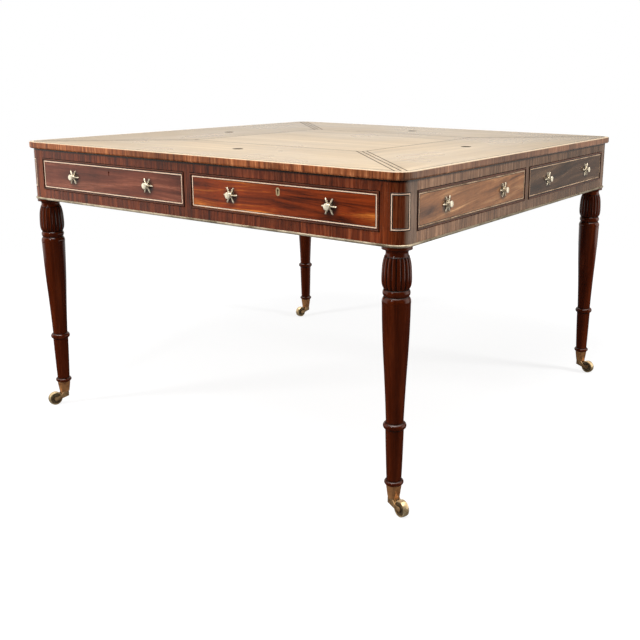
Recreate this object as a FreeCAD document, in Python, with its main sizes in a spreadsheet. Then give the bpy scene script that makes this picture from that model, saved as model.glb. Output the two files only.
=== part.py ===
import FreeCAD, Part
import Sketcher
import math
import os
import re

# A square partners' writing table: mahogany with brass stringing, on four reeded legs with castors.
# Two drawers open at the front and two at the back; the left and right sides carry dummy fronts.
# Frame: +Z up, the origin on the floor under the middle of the top, the front towards -Y.

SIZES = {
    # The whole table
    "table_width": 1230,
    "table_height": 762,
    # The top
    "top_thickness": 18,
    "top_overhang": 10.5,
    "lipping_width": 12,
    "lipping_lower_round": 5,
    "lipping_upper_round": 2.5,
    "veneer_thickness": 1.5,
    "ebony_width": 2.6,
    "mitre_spacing": 13,
    "centre_panel_width": 574,
    "roundel_radius": 14,
    "roundel_distance": 190,
    "screw_radius": 2.2,
    "screw_head_radius": 4.4,
    "screw_head_height": 3,
    "screw_bite": 10,
    # The frieze
    "frieze_height": 139,
    "post_size": 55.5,
    "corner_radius": 33,
    "top_rail_height": 24,
    "bottom_rail_height": 29,
    "stile_width": 20,
    "side_guide_width": 15.5,
    "dummy_depth": 12,
    "tenon_length": 12,
    "tenon_thickness": 12,
    "tenon_shoulder": 4,
    "stile_tenon_length": 7,
    "joint_clearance": 0.1,
    "moulding_height": 6,
    "moulding_projection": 3,
    "moulding_round": 2.4,
    # Inside the frieze
    "centre_rail_thickness": 30,
    "runner_height": 18,
    "runner_reach": 25,
    "guide_height": 40,
    # The drawers
    "drawer_gap": 0.8,
    "slide_clearance": 0.3,
    "front_thickness": 20,
    "drawer_side_thickness": 10,
    "drawer_bottom_thickness": 6,
    "drawer_bottom_rise": 8,
    "drawer_groove": 4,
    "drawer_back_drop": 10,
    "drawer_rear_gap": 4,
    "cockbead_width": 4,
    "cockbead_depth": 9,
    "cockbead_proud": 2,
    "string_inset": 6.2,
    "string_width": 3,
    "inlay_depth": 1,
    "inlay_clearance": 0.05,
    "corner_string_angle": 76,
    "corner_string_rise": 4,
    # The knobs
    "knob_spread": 282,
    "knob_drop": 0.8,
    "shank_radius": 2.5,
    "stem_radius": 3.6,
    "stem_height": 8,
    "button_radius": 7.8,
    "button_height": 4.2,
    "button_flat_radius": 1.5,
    "star_reach": 20.5,
    "star_tip_width": 3.4,
    "star_waist": 5,
    "star_rim": 1.6,
    "star_height": 4.4,
    "nut_radius": 5.5,
    "nut_thickness": 3,
    "shank_clearance": 0.05,
    # The locks
    "keyhole_drop": 21,
    "keyhole_radius": 2.6,
    "keyhole_slot_width": 2.6,
    "keyhole_slot_length": 9,
    "plate_width": 10.5,
    "plate_height": 19,
    "lock_width": 52,
    "lock_height": 38,
    "lock_thickness": 9,
    "bolt_width": 14,
    "bolt_thickness": 5,
    "bolt_height": 20,
    "bolt_travel": 7,
    "bolt_clearance": 0.3,
    # The legs, from the frieze down
    "leg_pin_radius": 9,
    "leg_pin_length": 36,
    "cap_height": 7,
    "neck_height": 16,
    "neck_radius": 24.2,
    "bulb_height": 70.5,
    "bulb_radius": 32.2,
    "bulb_end_radius": 26.5,
    "reed_depth": 2.6,
    "reed_ledge": 0.6,
    "bead_height": 15,
    "bead_radius": 29.9,
    "throat_radius": 26.6,
    "throat_height": 15,
    "shaft_radius": 31,
    "shaft_foot_radius": 19.4,
    "ring_height": 15,
    "ring_radius": 25.8,
    "ankle_radius": 20.4,
    "ankle_length": 120.6,
    "foot_radius": 16.6,
    "collar_height": 10.6,
    "collar_radius": 21.6,
    "foot_tip_height": 0.4,
    # The castors
    "cup_height": 31,
    "cup_radius": 17.5,
    "cup_foot_radius": 13.2,
    "cup_lift": 16.6,
    "socket_radius": 11.5,
    "socket_depth": 14,
    "swivel_pin_radius": 4,
    "swivel_pin_length": 14,
    "swivel_gap": 0.3,
    "running_clearance": 0.05,
    "boss_radius": 11,
    "boss_height": 6,
    "horn_root_height": 13.5,
    "castor_trail": 28.5,
    "wheel_radius": 19,
    "wheel_width": 14,
    "wheel_crown": 0.8,
    "wheel_gap": 2.5,
    "wheel_recess": 1.6,
    "hub_radius": 6.5,
    "rim_thickness": 3.2,
    "cheek_gap": 0.6,
    "cheek_thickness": 3,
    "axle_radius": 2.5,
    "axle_boss_radius": 5.8,
    # Where each castor points at rest, in degrees from +X
    "front_right_castor_angle": -20,
    "back_right_castor_angle": -12,
    "back_left_castor_angle": -100,
    "front_left_castor_angle": -106,
}

# What follows from the driving sizes
DERIVED = {
    "half_width": "table_width / 2",
    "frieze_half": "half_width - top_overhang",
    "frieze_top": "table_height - top_thickness",
    "frieze_bottom": "frieze_top - frieze_height",
    "opening_bottom": "frieze_bottom + bottom_rail_height",
    "opening_top": "frieze_top - top_rail_height",
    "post_inner": "frieze_half - post_size",
    "opening_width": "post_inner - stile_width / 2",
    "opening_centre": "(post_inner + stile_width / 2) / 2",
    "front_half": "opening_width / 2 - drawer_gap",
    "front_bottom": "opening_bottom + drawer_gap",
    "front_top": "opening_top - drawer_gap",
    "drawer_rear": "frieze_half - centre_rail_thickness / 2 - drawer_rear_gap",
    "box_half": "front_half - drawer_side_thickness",
    "floor_bottom": "opening_bottom + drawer_bottom_rise",
    "floor_top": "floor_bottom + drawer_bottom_thickness",
    "knob_level": "(opening_bottom + opening_top) / 2 - knob_drop",
    "keyhole_level": "opening_top - keyhole_drop",
    "knob_shank": "front_thickness + nut_thickness",
    "leg_axis": "frieze_half - corner_radius",
    "post_reach": "post_size - corner_radius",
    "side_inner": "post_inner + side_guide_width",
    "side_board_thickness": "post_size - side_guide_width",
    "tenon_setback": "(side_board_thickness - tenon_thickness) / 2",
    "string_turn": "string_width / corner_radius * 180 / pi",
    "string_low": "front_bottom + string_inset",
    "string_high": "front_top - string_inset",
    "corner_string_high": "string_high + corner_string_rise",
    "plate_level": "keyhole_level - (keyhole_slot_length - keyhole_radius) / 2",
    "bolt_middle": "front_thickness - lock_thickness / 2",
    "board_half": "half_width - lipping_width",
    "field_half": "board_half - ebony_width",
    "top_radius": "corner_radius + top_overhang",
    "centre_half": "centre_panel_width / 2",
    "veneer_bottom": "table_height - veneer_thickness",
    "cap_bottom": "frieze_bottom - cap_height",
    "bulb_top": "cap_bottom - neck_height",
    "bulb_bottom": "bulb_top - bulb_height",
    "ledge_radius": "bulb_end_radius + reed_ledge",
    "bead_bottom": "bulb_bottom - bead_height",
    "shaft_top": "bead_bottom - throat_height",
    "cup_bottom": "wheel_radius + cup_lift",
    "cup_top": "cup_bottom + cup_height",
    "collar_bottom": "cup_top + foot_tip_height",
    "collar_top": "collar_bottom + collar_height",
    "ring_bottom": "collar_top + ankle_length",
    "ring_top": "ring_bottom + ring_height",
    "shaft_length": "shaft_top - ring_top",
    "shaft_taper": "shaft_radius - shaft_foot_radius",
    "socket_floor": "cup_top - socket_depth",
    "boss_top": "cup_bottom - swivel_gap",
    "boss_bottom": "boss_top - boss_height",
    "horn_half": "wheel_width / 2 + cheek_gap + cheek_thickness",
}

UP = FreeCAD.Vector(0, 0, 1)
ACROSS = FreeCAD.Vector(1, 0, 0)
QUARTER_TURN = 90
FULL_TURN = 360
REED_COUNT = 18
STAR_RAYS = 6

# The reeded bulb: share of its height from below, and share of its swelling there
BULB_SHARES = ((0, 0), (0.055, 0.49), (0.14, 0.85), (0.48, 1), (0.8, 0.67), (1, 0))
# The shaft's swelling: share of its length from the top, and share of its taper still left there
SHAFT_UPPER_SHARES = (0.26, 0.84)
SHAFT_MIDDLE_SHARES = (0.56, 0.475)
SHAFT_LOWER_SHARES = (0.79, 0.2)
# Where the shaft's shoulder bulges most: share of its width, and share of its height from above
SHOULDER_SHARES = (0.74, 0.3)
ANKLE_WAIST_SHARE = 0.56
CUP_WAIST_SHARE = 0.57
BUTTON_EDGE_SHARE = 0.35
BUTTON_RIM_SHARE = 0.7
COCKBEAD_ROUND_SHARE = 0.45
SCREW_SHARES = (-0.78, -0.26, 0.26, 0.78)
HORN_BACK_SHARE = 0.75
HORN_CREST_SHARES = (0.58, 1.3)

doc = FreeCAD.newDocument("partners_desk")
dim = doc.addObject("Spreadsheet::Sheet", "dim")
for row, (alias, number) in enumerate(SIZES.items(), start=1):
    dim.set(f"A{row}", alias)
    dim.set(f"B{row}", str(number))
    dim.setAlias(f"B{row}", alias)
for row, (alias, formula) in enumerate(DERIVED.items(), start=1):
    dim.set(f"D{row}", alias)
    dim.set(f"E{row}", f"={formula}")
    dim.setAlias(f"E{row}", alias)
doc.recompute()

sub_parts = []


def bound(expression):
    """An expression over the sizes, with each alias written as a cell of the sheet."""
    known = SIZES.keys() | DERIVED.keys()
    return re.sub(r"[a-z_]+", lambda word: f"dim.{word[0]}" if word[0] in known else word[0], expression)


def size(expression):
    """The number that an expression over the sizes comes to."""
    return float(dim.evalExpression(bound(expression)))


def mirrored(faces):
    """The pair of faces on the other side of the middle."""
    low, high = faces
    return f"-({high})", f"-({low})"


def block(name, x, y, z):
    """A squared piece between two faces along each axis, the low face first."""
    item = doc.addObject("Part::Box", name)
    for side, axis, (low, high) in zip(("Length", "Width", "Height"), "xyz", (x, y, z)):
        item.setExpression(side, bound(f"({high}) - ({low})"))
        item.setExpression(f"Placement.Base.{axis}", bound(low))
    return item


def rod(name, radius, length, x="0", y="0", z="0", turn=0):
    """A round piece along +Z, or along -Y after a quarter turn about X."""
    item = doc.addObject("Part::Cylinder", name)
    item.setExpression("Radius", bound(radius))
    item.setExpression("Height", bound(length))
    item.Placement = FreeCAD.Placement(FreeCAD.Vector(), FreeCAD.Rotation(ACROSS, turn))
    for axis, place in zip("xyz", (x, y, z)):
        item.setExpression(f"Placement.Base.{axis}", bound(place))
    return item


def fuse(name, *items):
    item = doc.addObject("Part::MultiFuse", name)
    item.Shapes = list(items)
    return item


def cut(name, base, *tools):
    item = doc.addObject("Part::Cut", name)
    item.Base = base
    item.Tool = tools[0] if len(tools) == 1 else fuse(f"{name}_tools", *tools)
    return item


def common(name, base, tool):
    item = doc.addObject("Part::Common", name)
    item.Base = base
    item.Tool = tool
    return item


def placed(name, items, x="0", y="0", z="0", turn=0, axis=UP):
    """A copy of the items as one group, turned about an axis and set down at a place."""
    group = doc.addObject("Part::Compound", name)
    group.Links = list(items)
    group.Placement = FreeCAD.Placement(FreeCAD.Vector(), FreeCAD.Rotation(axis, turn))
    for direction, place in zip("xyz", (x, y, z)):
        group.setExpression(f"Placement.Base.{direction}", bound(place))
    return group


def sub_part(name, *items, **place):
    """A named piece of the table, which gets a file of its own."""
    group = placed(name, items, **place)
    group.Label = name
    sub_parts.append(group)
    return group


def pin_point(sketch, geometry, position, point):
    """Ties one point of a sketch to the sizes."""
    for kind, axis, term in zip(("DistanceX", "DistanceY"), (-2, -1), point):
        if term == "0":
            sketch.addConstraint(Sketcher.Constraint("PointOnObject", geometry, position, axis))
            continue
        tie = sketch.addConstraint(Sketcher.Constraint(kind, -1, 1, geometry, position, size(term)))
        sketch.setExpression(f"Constraints[{tie}]", bound(term))


def outline(sketch, points):
    """Draws a closed outline; a point of four terms ends an arc that passes through its first two."""
    corners = [FreeCAD.Vector(size(point[-2]), size(point[-1]), 0) for point in points]
    first = sketch.GeometryCount
    ends = []
    for index, point in enumerate(points):
        start, end = corners[index - 1], corners[index]
        if len(point) == 2:
            geometry = sketch.addGeometry(Part.LineSegment(start, end))
            ends.append((geometry, 1, 2))
            continue
        through = FreeCAD.Vector(size(point[0]), size(point[1]), 0)
        leftward = (through - start).cross(end - start).z > 0
        arc = Part.Arc(start, through, end) if leftward else Part.Arc(end, through, start)
        geometry = sketch.addGeometry(arc)
        ends.append((geometry, 1, 2) if leftward else (geometry, 2, 1))
    for index, point in enumerate(points):
        geometry, begin, finish = ends[index]
        before, _, before_finish = ends[index - 1]
        sketch.addConstraint(Sketcher.Constraint("Coincident", before, before_finish, geometry, begin))
        pin_point(sketch, geometry, finish, point[-2:])
        if len(point) == 4:
            middle = Part.Point(FreeCAD.Vector(size(point[0]), size(point[1]), 0))
            through = sketch.addGeometry(middle, True)
            sketch.addConstraint(Sketcher.Constraint("PointOnObject", through, 1, geometry))
            pin_point(sketch, through, 1, point[:2])


def sketched_body(name, plane, *outlines):
    """A body with one sketch on one of its own planes."""
    body = doc.addObject("PartDesign::Body", name)
    sketch = body.newObject("Sketcher::SketchObject", f"{name}_sketch")
    support = next(item for item in body.Origin.OriginFeatures if item.Role == plane)
    sketch.AttachmentSupport = (support, [""])
    sketch.MapMode = "FlatFace"
    for points in outlines:
        outline(sketch, points)
    return body, sketch


def turned(name, points):
    """A lathe piece: an outline of radius and height, turned about the upright axis."""
    body, sketch = sketched_body(name, "XZ_Plane", points)
    turning = body.newObject("PartDesign::Revolution", f"{name}_turning")
    turning.Profile = sketch
    turning.ReferenceAxis = (sketch, ["V_Axis"])
    turning.Angle = FULL_TURN
    return body


def sawn(name, height, level, *outlines):
    """A flat piece of one thickness: outlines on the ground plane, raised to a level."""
    body, sketch = sketched_body(name, "XY_Plane", *outlines)
    pad = body.newObject("PartDesign::Pad", f"{name}_pad")
    pad.Profile = sketch
    pad.setExpression("Length", bound(height))
    body.setExpression("Placement.Base.z", bound(level))
    return body


def rounded_square(half, radius):
    """The outline of a square with rounded corners."""
    flat = f"({half}) - ({radius})"
    bow = f"({half}) - ({radius}) * (1 - sqrt(0.5))"
    points = []
    for across, along in ((1, 1), (-1, 1), (-1, -1), (1, -1)):
        on_side = (f"{across} * ({half})", f"{along} * ({flat})")
        on_end = (f"{across} * ({flat})", f"{along} * ({half})")
        begin, finish = (on_side, on_end) if across == along else (on_end, on_side)
        points += [begin, (f"{across} * ({bow})", f"{along} * ({bow})", *finish)]
    return points


def rounded_band(name, height, level, half, radius, width):
    """A flat ring of one width that follows a square with rounded corners."""
    inner = rounded_square(f"({half}) - ({width})", f"({radius}) - ({width})")
    return sawn(name, height, level, rounded_square(half, radius), inner)


def round_edges(body, radius, is_wanted):
    """Rounds the edges of a body whose box answers a test."""
    doc.recompute()
    base = body.Tip
    wanted = [f"Edge{i}" for i, edge in enumerate(base.Shape.Edges, start=1) if is_wanted(edge.BoundBox)]
    rounding = body.newObject("PartDesign::Fillet", f"{body.Name}_rounding")
    rounding.Base = (base, wanted)
    rounding.setExpression("Radius", bound(radius))
    body.Tip = rounding


def reach(box):
    """How far a box lies from the middle, along X or Y."""
    return max(abs(box.XMin), abs(box.XMax), abs(box.YMin), abs(box.YMax))


def rectangle(x, y):
    """The outline of a rectangle between two faces along each axis."""
    (left, right), (near, far) = x, y
    return [(right, near), (right, far), (left, far), (left, near)]


def square(half):
    faces = (f"-({half})", half)
    return rectangle(faces, faces)


def four_turns(name, item, start=0, **place):
    """Four copies of an item about the middle of the table, a quarter turn apart."""
    turns = [start + quarter * QUARTER_TURN for quarter in range(4)]
    return [placed(f"{name}_{i}", [item], turn=turn, **place) for i, turn in enumerate(turns)]


# The face of a side has its own frame: X along the side, Y inward from the face, Z as the table's.
# These set a piece of that frame down on one side of the table.
FRONT = {"y": "-frieze_half"}
RIGHT = {"x": "frieze_half", "turn": QUARTER_TURN}
BACK = {"y": "frieze_half", "turn": 2 * QUARTER_TURN}
LEFT = {"x": "-frieze_half", "turn": -QUARTER_TURN}

CORNERS = {
    "front_right": {"x": "leg_axis", "y": "-leg_axis", "turn": 0},
    "back_right": {"x": "leg_axis", "y": "leg_axis", "turn": QUARTER_TURN},
    "back_left": {"x": "-leg_axis", "y": "leg_axis", "turn": 2 * QUARTER_TURN},
    "front_left": {"x": "-leg_axis", "y": "-leg_axis", "turn": -QUARTER_TURN},
}

DRAWERS = {
    "front_left": {"x": "-opening_centre", "y": "-frieze_half"},
    "front_right": {"x": "opening_centre", "y": "-frieze_half"},
    "back_left": {"x": "-opening_centre", "y": "frieze_half", "turn": 2 * QUARTER_TURN},
    "back_right": {"x": "opening_centre", "y": "frieze_half", "turn": 2 * QUARTER_TURN},
}
# The one drawer whose keyhole has lost its plate
BARE_KEYHOLE = "front_left"


def screw_row(name, clearance):
    """Four countersunk screws in a row, in the frame of a face, or the holes for them."""
    shank = f"screw_radius + {clearance}"
    head = f"screw_head_radius + {clearance}"
    tip = f"frieze_top + screw_bite + {clearance}"
    neck = "opening_top + screw_head_height"
    under = "opening_top"
    screw = turned(name, [("0", under), (head, under), (shank, neck), (shank, tip), ("0", tip)])
    places = [f"{share} * post_inner" for share in SCREW_SHARES]
    return [placed(f"{name}_{i}", [screw], x=place, y="post_size / 2") for i, place in enumerate(places)]


screws = screw_row("top_screw", "0")
screw_holes = screw_row("top_screw_hole", "shank_clearance")
sub_part("top_screws", placed("front_screws", screws, **FRONT), placed("back_screws", screws, **BACK))

# The top: a core with a lipping round it, veneered in five panels between ebony lines
core = sawn("top_core", "top_thickness - veneer_thickness", "frieze_top",
            rounded_square("board_half", "top_radius - lipping_width"))
sub_part("top_board", cut("top_core_bored", core, placed("front_bores", screw_holes, **FRONT),
                          placed("back_bores", screw_holes, **BACK)))

lipping = rounded_band("lipping", "top_thickness", "frieze_top", "half_width", "top_radius", "lipping_width")
lipping_outside = size("half_width - lipping_width / 2")
lipping_middle = size("top_thickness / 2")
round_edges(lipping, "lipping_lower_round",
            lambda box: box.ZMax < lipping_middle and reach(box) > lipping_outside)
round_edges(lipping, "lipping_upper_round",
            lambda box: box.ZMin > lipping_middle and reach(box) > lipping_outside)
sub_part("top_edge_lipping", lipping)

field = sawn("veneer_field", "veneer_thickness", "veneer_bottom",
             rounded_square("field_half", "top_radius - lipping_width - ebony_width"),
             square("centre_half + ebony_width"))
mitre_lines = [
    block(f"mitre_line_{side + 1}", ("centre_half", "table_width"),
          (f"{side} * mitre_spacing - ebony_width / 2", f"{side} * mitre_spacing + ebony_width / 2"),
          ("veneer_bottom", "table_height"))
    for side in (-1, 0, 1)
]
mitres = fuse("mitres", *four_turns("mitre", placed("mitre_set", mitre_lines), start=QUARTER_TURN / 2))
roundel = rod("roundel", "roundel_radius", "veneer_thickness", y="roundel_distance - half_width",
              z="veneer_bottom")
roundels = four_turns("roundel_place", roundel)
edge_line = rounded_band("edge_line", "veneer_thickness", "veneer_bottom", "board_half",
                         "top_radius - lipping_width", "ebony_width")
centre_line = sawn("centre_line", "veneer_thickness", "veneer_bottom",
                   square("centre_half + ebony_width"), square("centre_half"))
sub_part("top_border_veneers", cut("border_veneers", field, mitres, *roundels))
sub_part("top_centre_veneer",
         sawn("centre_veneer", "veneer_thickness", "veneer_bottom", square("centre_half")))
sub_part("top_ebony_inlay", edge_line, centre_line, common("mitre_inlay", field, mitres), *roundels)


# The frieze: rails over and under the drawers on two sides, solid boards on the other two
def tongue(name, low, high):
    """A bar through a rail or board whose two ends are its tenons."""
    return block(name, ("-post_inner - tenon_length", "post_inner + tenon_length"),
                 ("tenon_setback", "tenon_setback + tenon_thickness"),
                 (f"{low} + tenon_shoulder", f"{high} - tenon_shoulder"))


def stile_tongue(name, clearance):
    """The tenons at both ends of a stile, or the mortises for them."""
    half = f"stile_width / 2 - tenon_shoulder + {clearance}"
    reach_out = f"stile_tenon_length + {clearance}"
    return block(name, (f"-({half})", half),
                 (f"tenon_setback - {clearance}", f"tenon_setback + tenon_thickness + {clearance}"),
                 (f"opening_bottom - ({reach_out})", f"opening_top + {reach_out}"))


rail_length = ("-post_inner", "post_inner")
rail_depth = ("0", "post_size")
top_levels = ("opening_top", "frieze_top")
bottom_levels = ("frieze_bottom", "opening_bottom")
stile_mortise = stile_tongue("stile_mortise", "joint_clearance")
bolt_room = "(bolt_thickness / 2 + drawer_gap)"
bolt_mortise = block("bolt_mortise", ("-bolt_width / 2 - drawer_gap", "bolt_width / 2 + drawer_gap"),
                     (f"bolt_middle - {bolt_room}", f"bolt_middle + {bolt_room}"),
                     ("opening_top", "opening_top + bolt_travel + drawer_gap"))
bolt_mortises = [placed(f"bolt_mortise_{side + 1}", [bolt_mortise], x=f"{side} * opening_centre")
                 for side in (-1, 1)]
top_rail = cut("top_rail", fuse("top_rail_bar", tongue("top_rail_tongue", *top_levels),
                                block("top_rail_blank", rail_length, rail_depth, top_levels)),
               stile_mortise, *bolt_mortises, *screw_holes)
bottom_rail = cut("bottom_rail", fuse("bottom_rail_bar", tongue("bottom_rail_tongue", *bottom_levels),
                                      block("bottom_rail_blank", rail_length, rail_depth, bottom_levels)),
                  stile_mortise)
stile = fuse("stile", stile_tongue("stile_tenon", "0"),
             block("stile_blank", ("-stile_width / 2", "stile_width / 2"), rail_depth,
                   ("opening_bottom", "opening_top")))
sub_part("front_top_rail", top_rail, **FRONT)
sub_part("back_top_rail", top_rail, **BACK)
sub_part("front_bottom_rail", bottom_rail, **FRONT)
sub_part("back_bottom_rail", bottom_rail, **BACK)
sub_part("centre_stiles", placed("front_stile", [stile], **FRONT), placed("back_stile", [stile], **BACK))


def centre_tongue(name, clearance):
    """The tenons at both ends of the centre rail, or the mortises for them."""
    half = f"tenon_thickness / 2 + {clearance}"
    far = f"side_inner + tenon_length + {clearance}"
    return block(name, (f"-({far})", far), (f"-({half})", half),
                 (f"opening_bottom - {clearance}", f"opening_top + {clearance}"))


centre_faces = ("-centre_rail_thickness / 2", "centre_rail_thickness / 2")
frieze_levels = ("frieze_bottom", "frieze_top")
centre_bar = block("centre_bar", ("-side_inner", "side_inner"), centre_faces, frieze_levels)
sub_part("centre_rail", fuse("tenoned_centre_rail", centre_bar, centre_tongue("centre_rail_tongue", "0")))

# What the drawers run on: runners under their sides, guides beside them and kickers over them
middle_faces = ("-stile_width / 2 - runner_reach", "stile_width / 2 + runner_reach")
outer_faces = ("post_inner - runner_reach", "side_inner")
middle_guide_faces = ("-stile_width / 2", "stile_width / 2")
outer_guide_faces = ("post_inner", "side_inner")


def strips(name, middle, outer, levels):
    """Three strips from the front rails back to the centre rail, and the same at the back."""
    run = ("-post_inner", "-centre_rail_thickness / 2")
    places = (middle, outer, mirrored(outer))
    three = [block(f"{name}_{i}", faces, run, levels) for i, faces in enumerate(places)]
    sub_part(name, *three, placed(f"{name}_at_the_back", three, turn=2 * QUARTER_TURN))


strips("drawer_runners", middle_faces, outer_faces, ("opening_bottom - runner_height", "opening_bottom"))
strips("drawer_guides", middle_guide_faces, outer_guide_faces,
       ("opening_bottom", "opening_bottom + guide_height"))
strips("drawer_kickers", middle_faces, outer_faces, top_levels)


# The drawer fronts, real and dummy, in the frame of a face with X from the middle of the drawer
def front_frame(name, inset, width, faces):
    """A flat frame that follows the edge of a drawer front at an inset."""
    def faces_at(margin):
        half = f"front_half - ({margin})"
        return (f"-({half})", half), faces, (f"front_bottom + {margin}", f"front_top - ({margin})")

    return cut(name, block(f"{name}_outside", *faces_at(inset)),
               block(f"{name}_inside", *faces_at(f"{inset} + {width}")))


def rounded_cockbead():
    """The bead round a drawer front, with its nose rounded on both sides."""
    bead = front_frame("cockbead_blank", "0", "cockbead_width", ("-cockbead_proud", "cockbead_depth"))
    doc.recompute()
    radius = COCKBEAD_ROUND_SHARE * size("cockbead_width")
    nose = [i for i, edge in enumerate(bead.Shape.Edges, start=1) if edge.BoundBox.YMax < 0]
    rounded = doc.addObject("Part::Fillet", "cockbead")
    rounded.Base = bead
    rounded.Edges = [(i, radius, radius) for i in nose]
    return rounded


cockbead = rounded_cockbead()
cockbead_rebate = front_frame("cockbead_rebate", "0", "cockbead_width", ("0", "cockbead_depth"))
brass_string = front_frame("brass_string", "string_inset", "string_width", ("0", "inlay_depth"))
knob_holes = [
    rod(f"knob_hole_{side + 1}", "shank_radius + shank_clearance", "knob_shank", turn=QUARTER_TURN,
        x=f"{side} * knob_spread / 2", y="knob_shank", z="knob_level") for side in (-1, 1)
]


def front_blank(name, thickness):
    return block(name, ("-front_half", "front_half"), ("0", thickness), ("front_bottom", "front_top"))


keyhole = fuse("keyhole",
               rod("keyhole_round", "keyhole_radius", "front_thickness", turn=QUARTER_TURN,
                   y="front_thickness", z="keyhole_level"),
               block("keyhole_slot", ("-keyhole_slot_width / 2", "keyhole_slot_width / 2"),
                     ("0", "front_thickness"), ("keyhole_level - keyhole_slot_length", "keyhole_level")))
plate_straight = "(plate_height - plate_width) / 2"
plate_blank = fuse("plate_blank",
                   block("plate_middle", ("-plate_width / 2", "plate_width / 2"), ("0", "inlay_depth"),
                         (f"plate_level - {plate_straight}", f"plate_level + {plate_straight}")),
                   *(rod(f"plate_end_{side + 1}", "plate_width / 2", "inlay_depth", turn=QUARTER_TURN,
                         y="inlay_depth", z=f"plate_level + {side} * {plate_straight}") for side in (-1, 1)))
keyhole_plate = cut("keyhole_plate", plate_blank, keyhole)
lock_blank = block("lock_blank", ("-lock_width / 2", "lock_width / 2"),
                   ("front_thickness - lock_thickness", "front_thickness"),
                   ("front_top - lock_height", "front_top"))


def bolt_space(name, clearance, low, high):
    """The bolt, or the space in the lock that it slides in."""
    half = f"bolt_width / 2 + {clearance}"
    half_thickness = f"(bolt_thickness / 2 + {clearance})"
    return block(name, (f"-({half})", half),
                 (f"bolt_middle - {half_thickness}", f"bolt_middle + {half_thickness}"), (low, high))


bolt_high = "front_top - bolt_clearance"
bolt_low = f"{bolt_high} - bolt_height"
bolt = bolt_space("bolt", "0", bolt_low, bolt_high)
lock_case = cut("lock_case", lock_blank,
                bolt_space("bolt_way", "bolt_clearance", f"{bolt_low} - bolt_clearance", "front_top"))

drawer_floor = block("drawer_floor", ("-box_half - drawer_groove", "box_half + drawer_groove"),
                     ("front_thickness - drawer_groove", "drawer_rear"), ("floor_bottom", "floor_top"))
side_faces = ("box_half", "front_half")
drawer_sides = [
    cut(f"drawer_side_{i}",
        block(f"drawer_side_blank_{i}", faces, ("front_thickness", "drawer_rear"),
              ("opening_bottom + slide_clearance", "front_top")), drawer_floor)
    for i, faces in enumerate((side_faces, mirrored(side_faces)))
]
drawer_back = block("drawer_back", ("-box_half", "box_half"),
                    ("drawer_rear - drawer_side_thickness", "drawer_rear"),
                    ("floor_top", "front_top - drawer_back_drop"))
bare_front = cut("bare_front", front_blank("front_board", "front_thickness"), cockbead_rebate, brass_string,
                 keyhole, lock_blank, drawer_floor, *knob_holes)
plated_front = cut("plated_front", bare_front, plate_blank)


# The knobs, upright about their own axis: a domed button on a stem, over a six rayed star plate
def star_plate():
    """A star with ridged rays round the hole for the stem."""
    low = []
    for ray in range(STAR_RAYS):
        along, across, waist = (
            FreeCAD.Rotation(UP, FULL_TURN * ray / STAR_RAYS + turn).multVec(ACROSS)
            for turn in (0, QUARTER_TURN, FULL_TURN / (2 * STAR_RAYS)))
        tip = along * size("star_reach")
        low += [tip - across * size("star_tip_width / 2"), tip + across * size("star_tip_width / 2"),
                waist * size("star_waist")]
    high = [point + UP * size("star_rim") for point in low]
    apex = UP * size("star_height")
    rings = [low[::-1]]
    for i in range(len(low)):
        rings.append([low[i - 1], low[i], high[i], high[i - 1]])
        rings.append([high[i - 1], high[i], apex])
    faces = [Part.Face(Part.makePolygon(ring + ring[:1])) for ring in rings]
    solid = Part.Solid(Part.Shell(faces))
    hole = Part.makeCylinder(size("stem_radius + shank_clearance"), size("star_height"))
    item = doc.addObject("Part::Feature", "star_plate")
    item.Shape = solid.cut(hole)
    return item


button_edge = f"stem_height + {BUTTON_EDGE_SHARE} * button_height"
button_rim = f"stem_height + {BUTTON_RIM_SHARE} * button_height"
button_top = "stem_height + button_height"
knob = turned("knob", [
    ("0", "-knob_shank"), ("shank_radius", "-knob_shank"), ("shank_radius", "0"), ("stem_radius", "0"),
    ("stem_radius", "stem_height"), ("button_radius", button_edge), ("button_radius", button_rim),
    ("button_radius * sqrt(0.5)", f"({button_rim} + {button_top}) / 2", "button_flat_radius", button_top),
    ("0", button_top),
])
nut_bore = "shank_radius + shank_clearance"
nut = turned("nut", [(nut_bore, "-knob_shank"), ("nut_radius", "-knob_shank"),
                     ("nut_radius", "-front_thickness"), (nut_bore, "-front_thickness")])
star = star_plate()


def knob_pair(name, *items):
    """The items at the two knob places of a drawer front, turned to stand out from it."""
    return [placed(f"{name}_{side + 1}", items, x=f"{side} * knob_spread / 2", z="knob_level",
                   turn=QUARTER_TURN, axis=ACROSS) for side in (-1, 1)]


drawer_knobs = knob_pair("drawer_knob", knob, star, nut)
for name, place in DRAWERS.items():
    is_bare = name == BARE_KEYHOLE
    sub_part(f"{name}_drawer_front", bare_front if is_bare else plated_front, cockbead, **place)
    sub_part(f"{name}_drawer_box", *drawer_sides, drawer_back, drawer_floor, **place)
    sub_part(f"{name}_drawer_string", brass_string, **place)
    sub_part(f"{name}_drawer_knobs", *drawer_knobs, **place)
    sub_part(f"{name}_drawer_lock", *([lock_case] if is_bare else [lock_case, keyhole_plate]), **place)
    sub_part(f"{name}_drawer_bolt", bolt, **place)


# The left and right sides: boards with two shallow recesses, each filled by a dummy front
def on_both_places(name, items):
    """The items at the two drawer places of one side."""
    return [placed(f"{name}_{side + 1}", items, x=f"{side} * opening_centre") for side in (-1, 1)]


def on_both_sides(name, items):
    """The items on the left and the right side of the table."""
    return [placed(f"{name}_right", items, **RIGHT), placed(f"{name}_left", items, **LEFT)]


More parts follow.
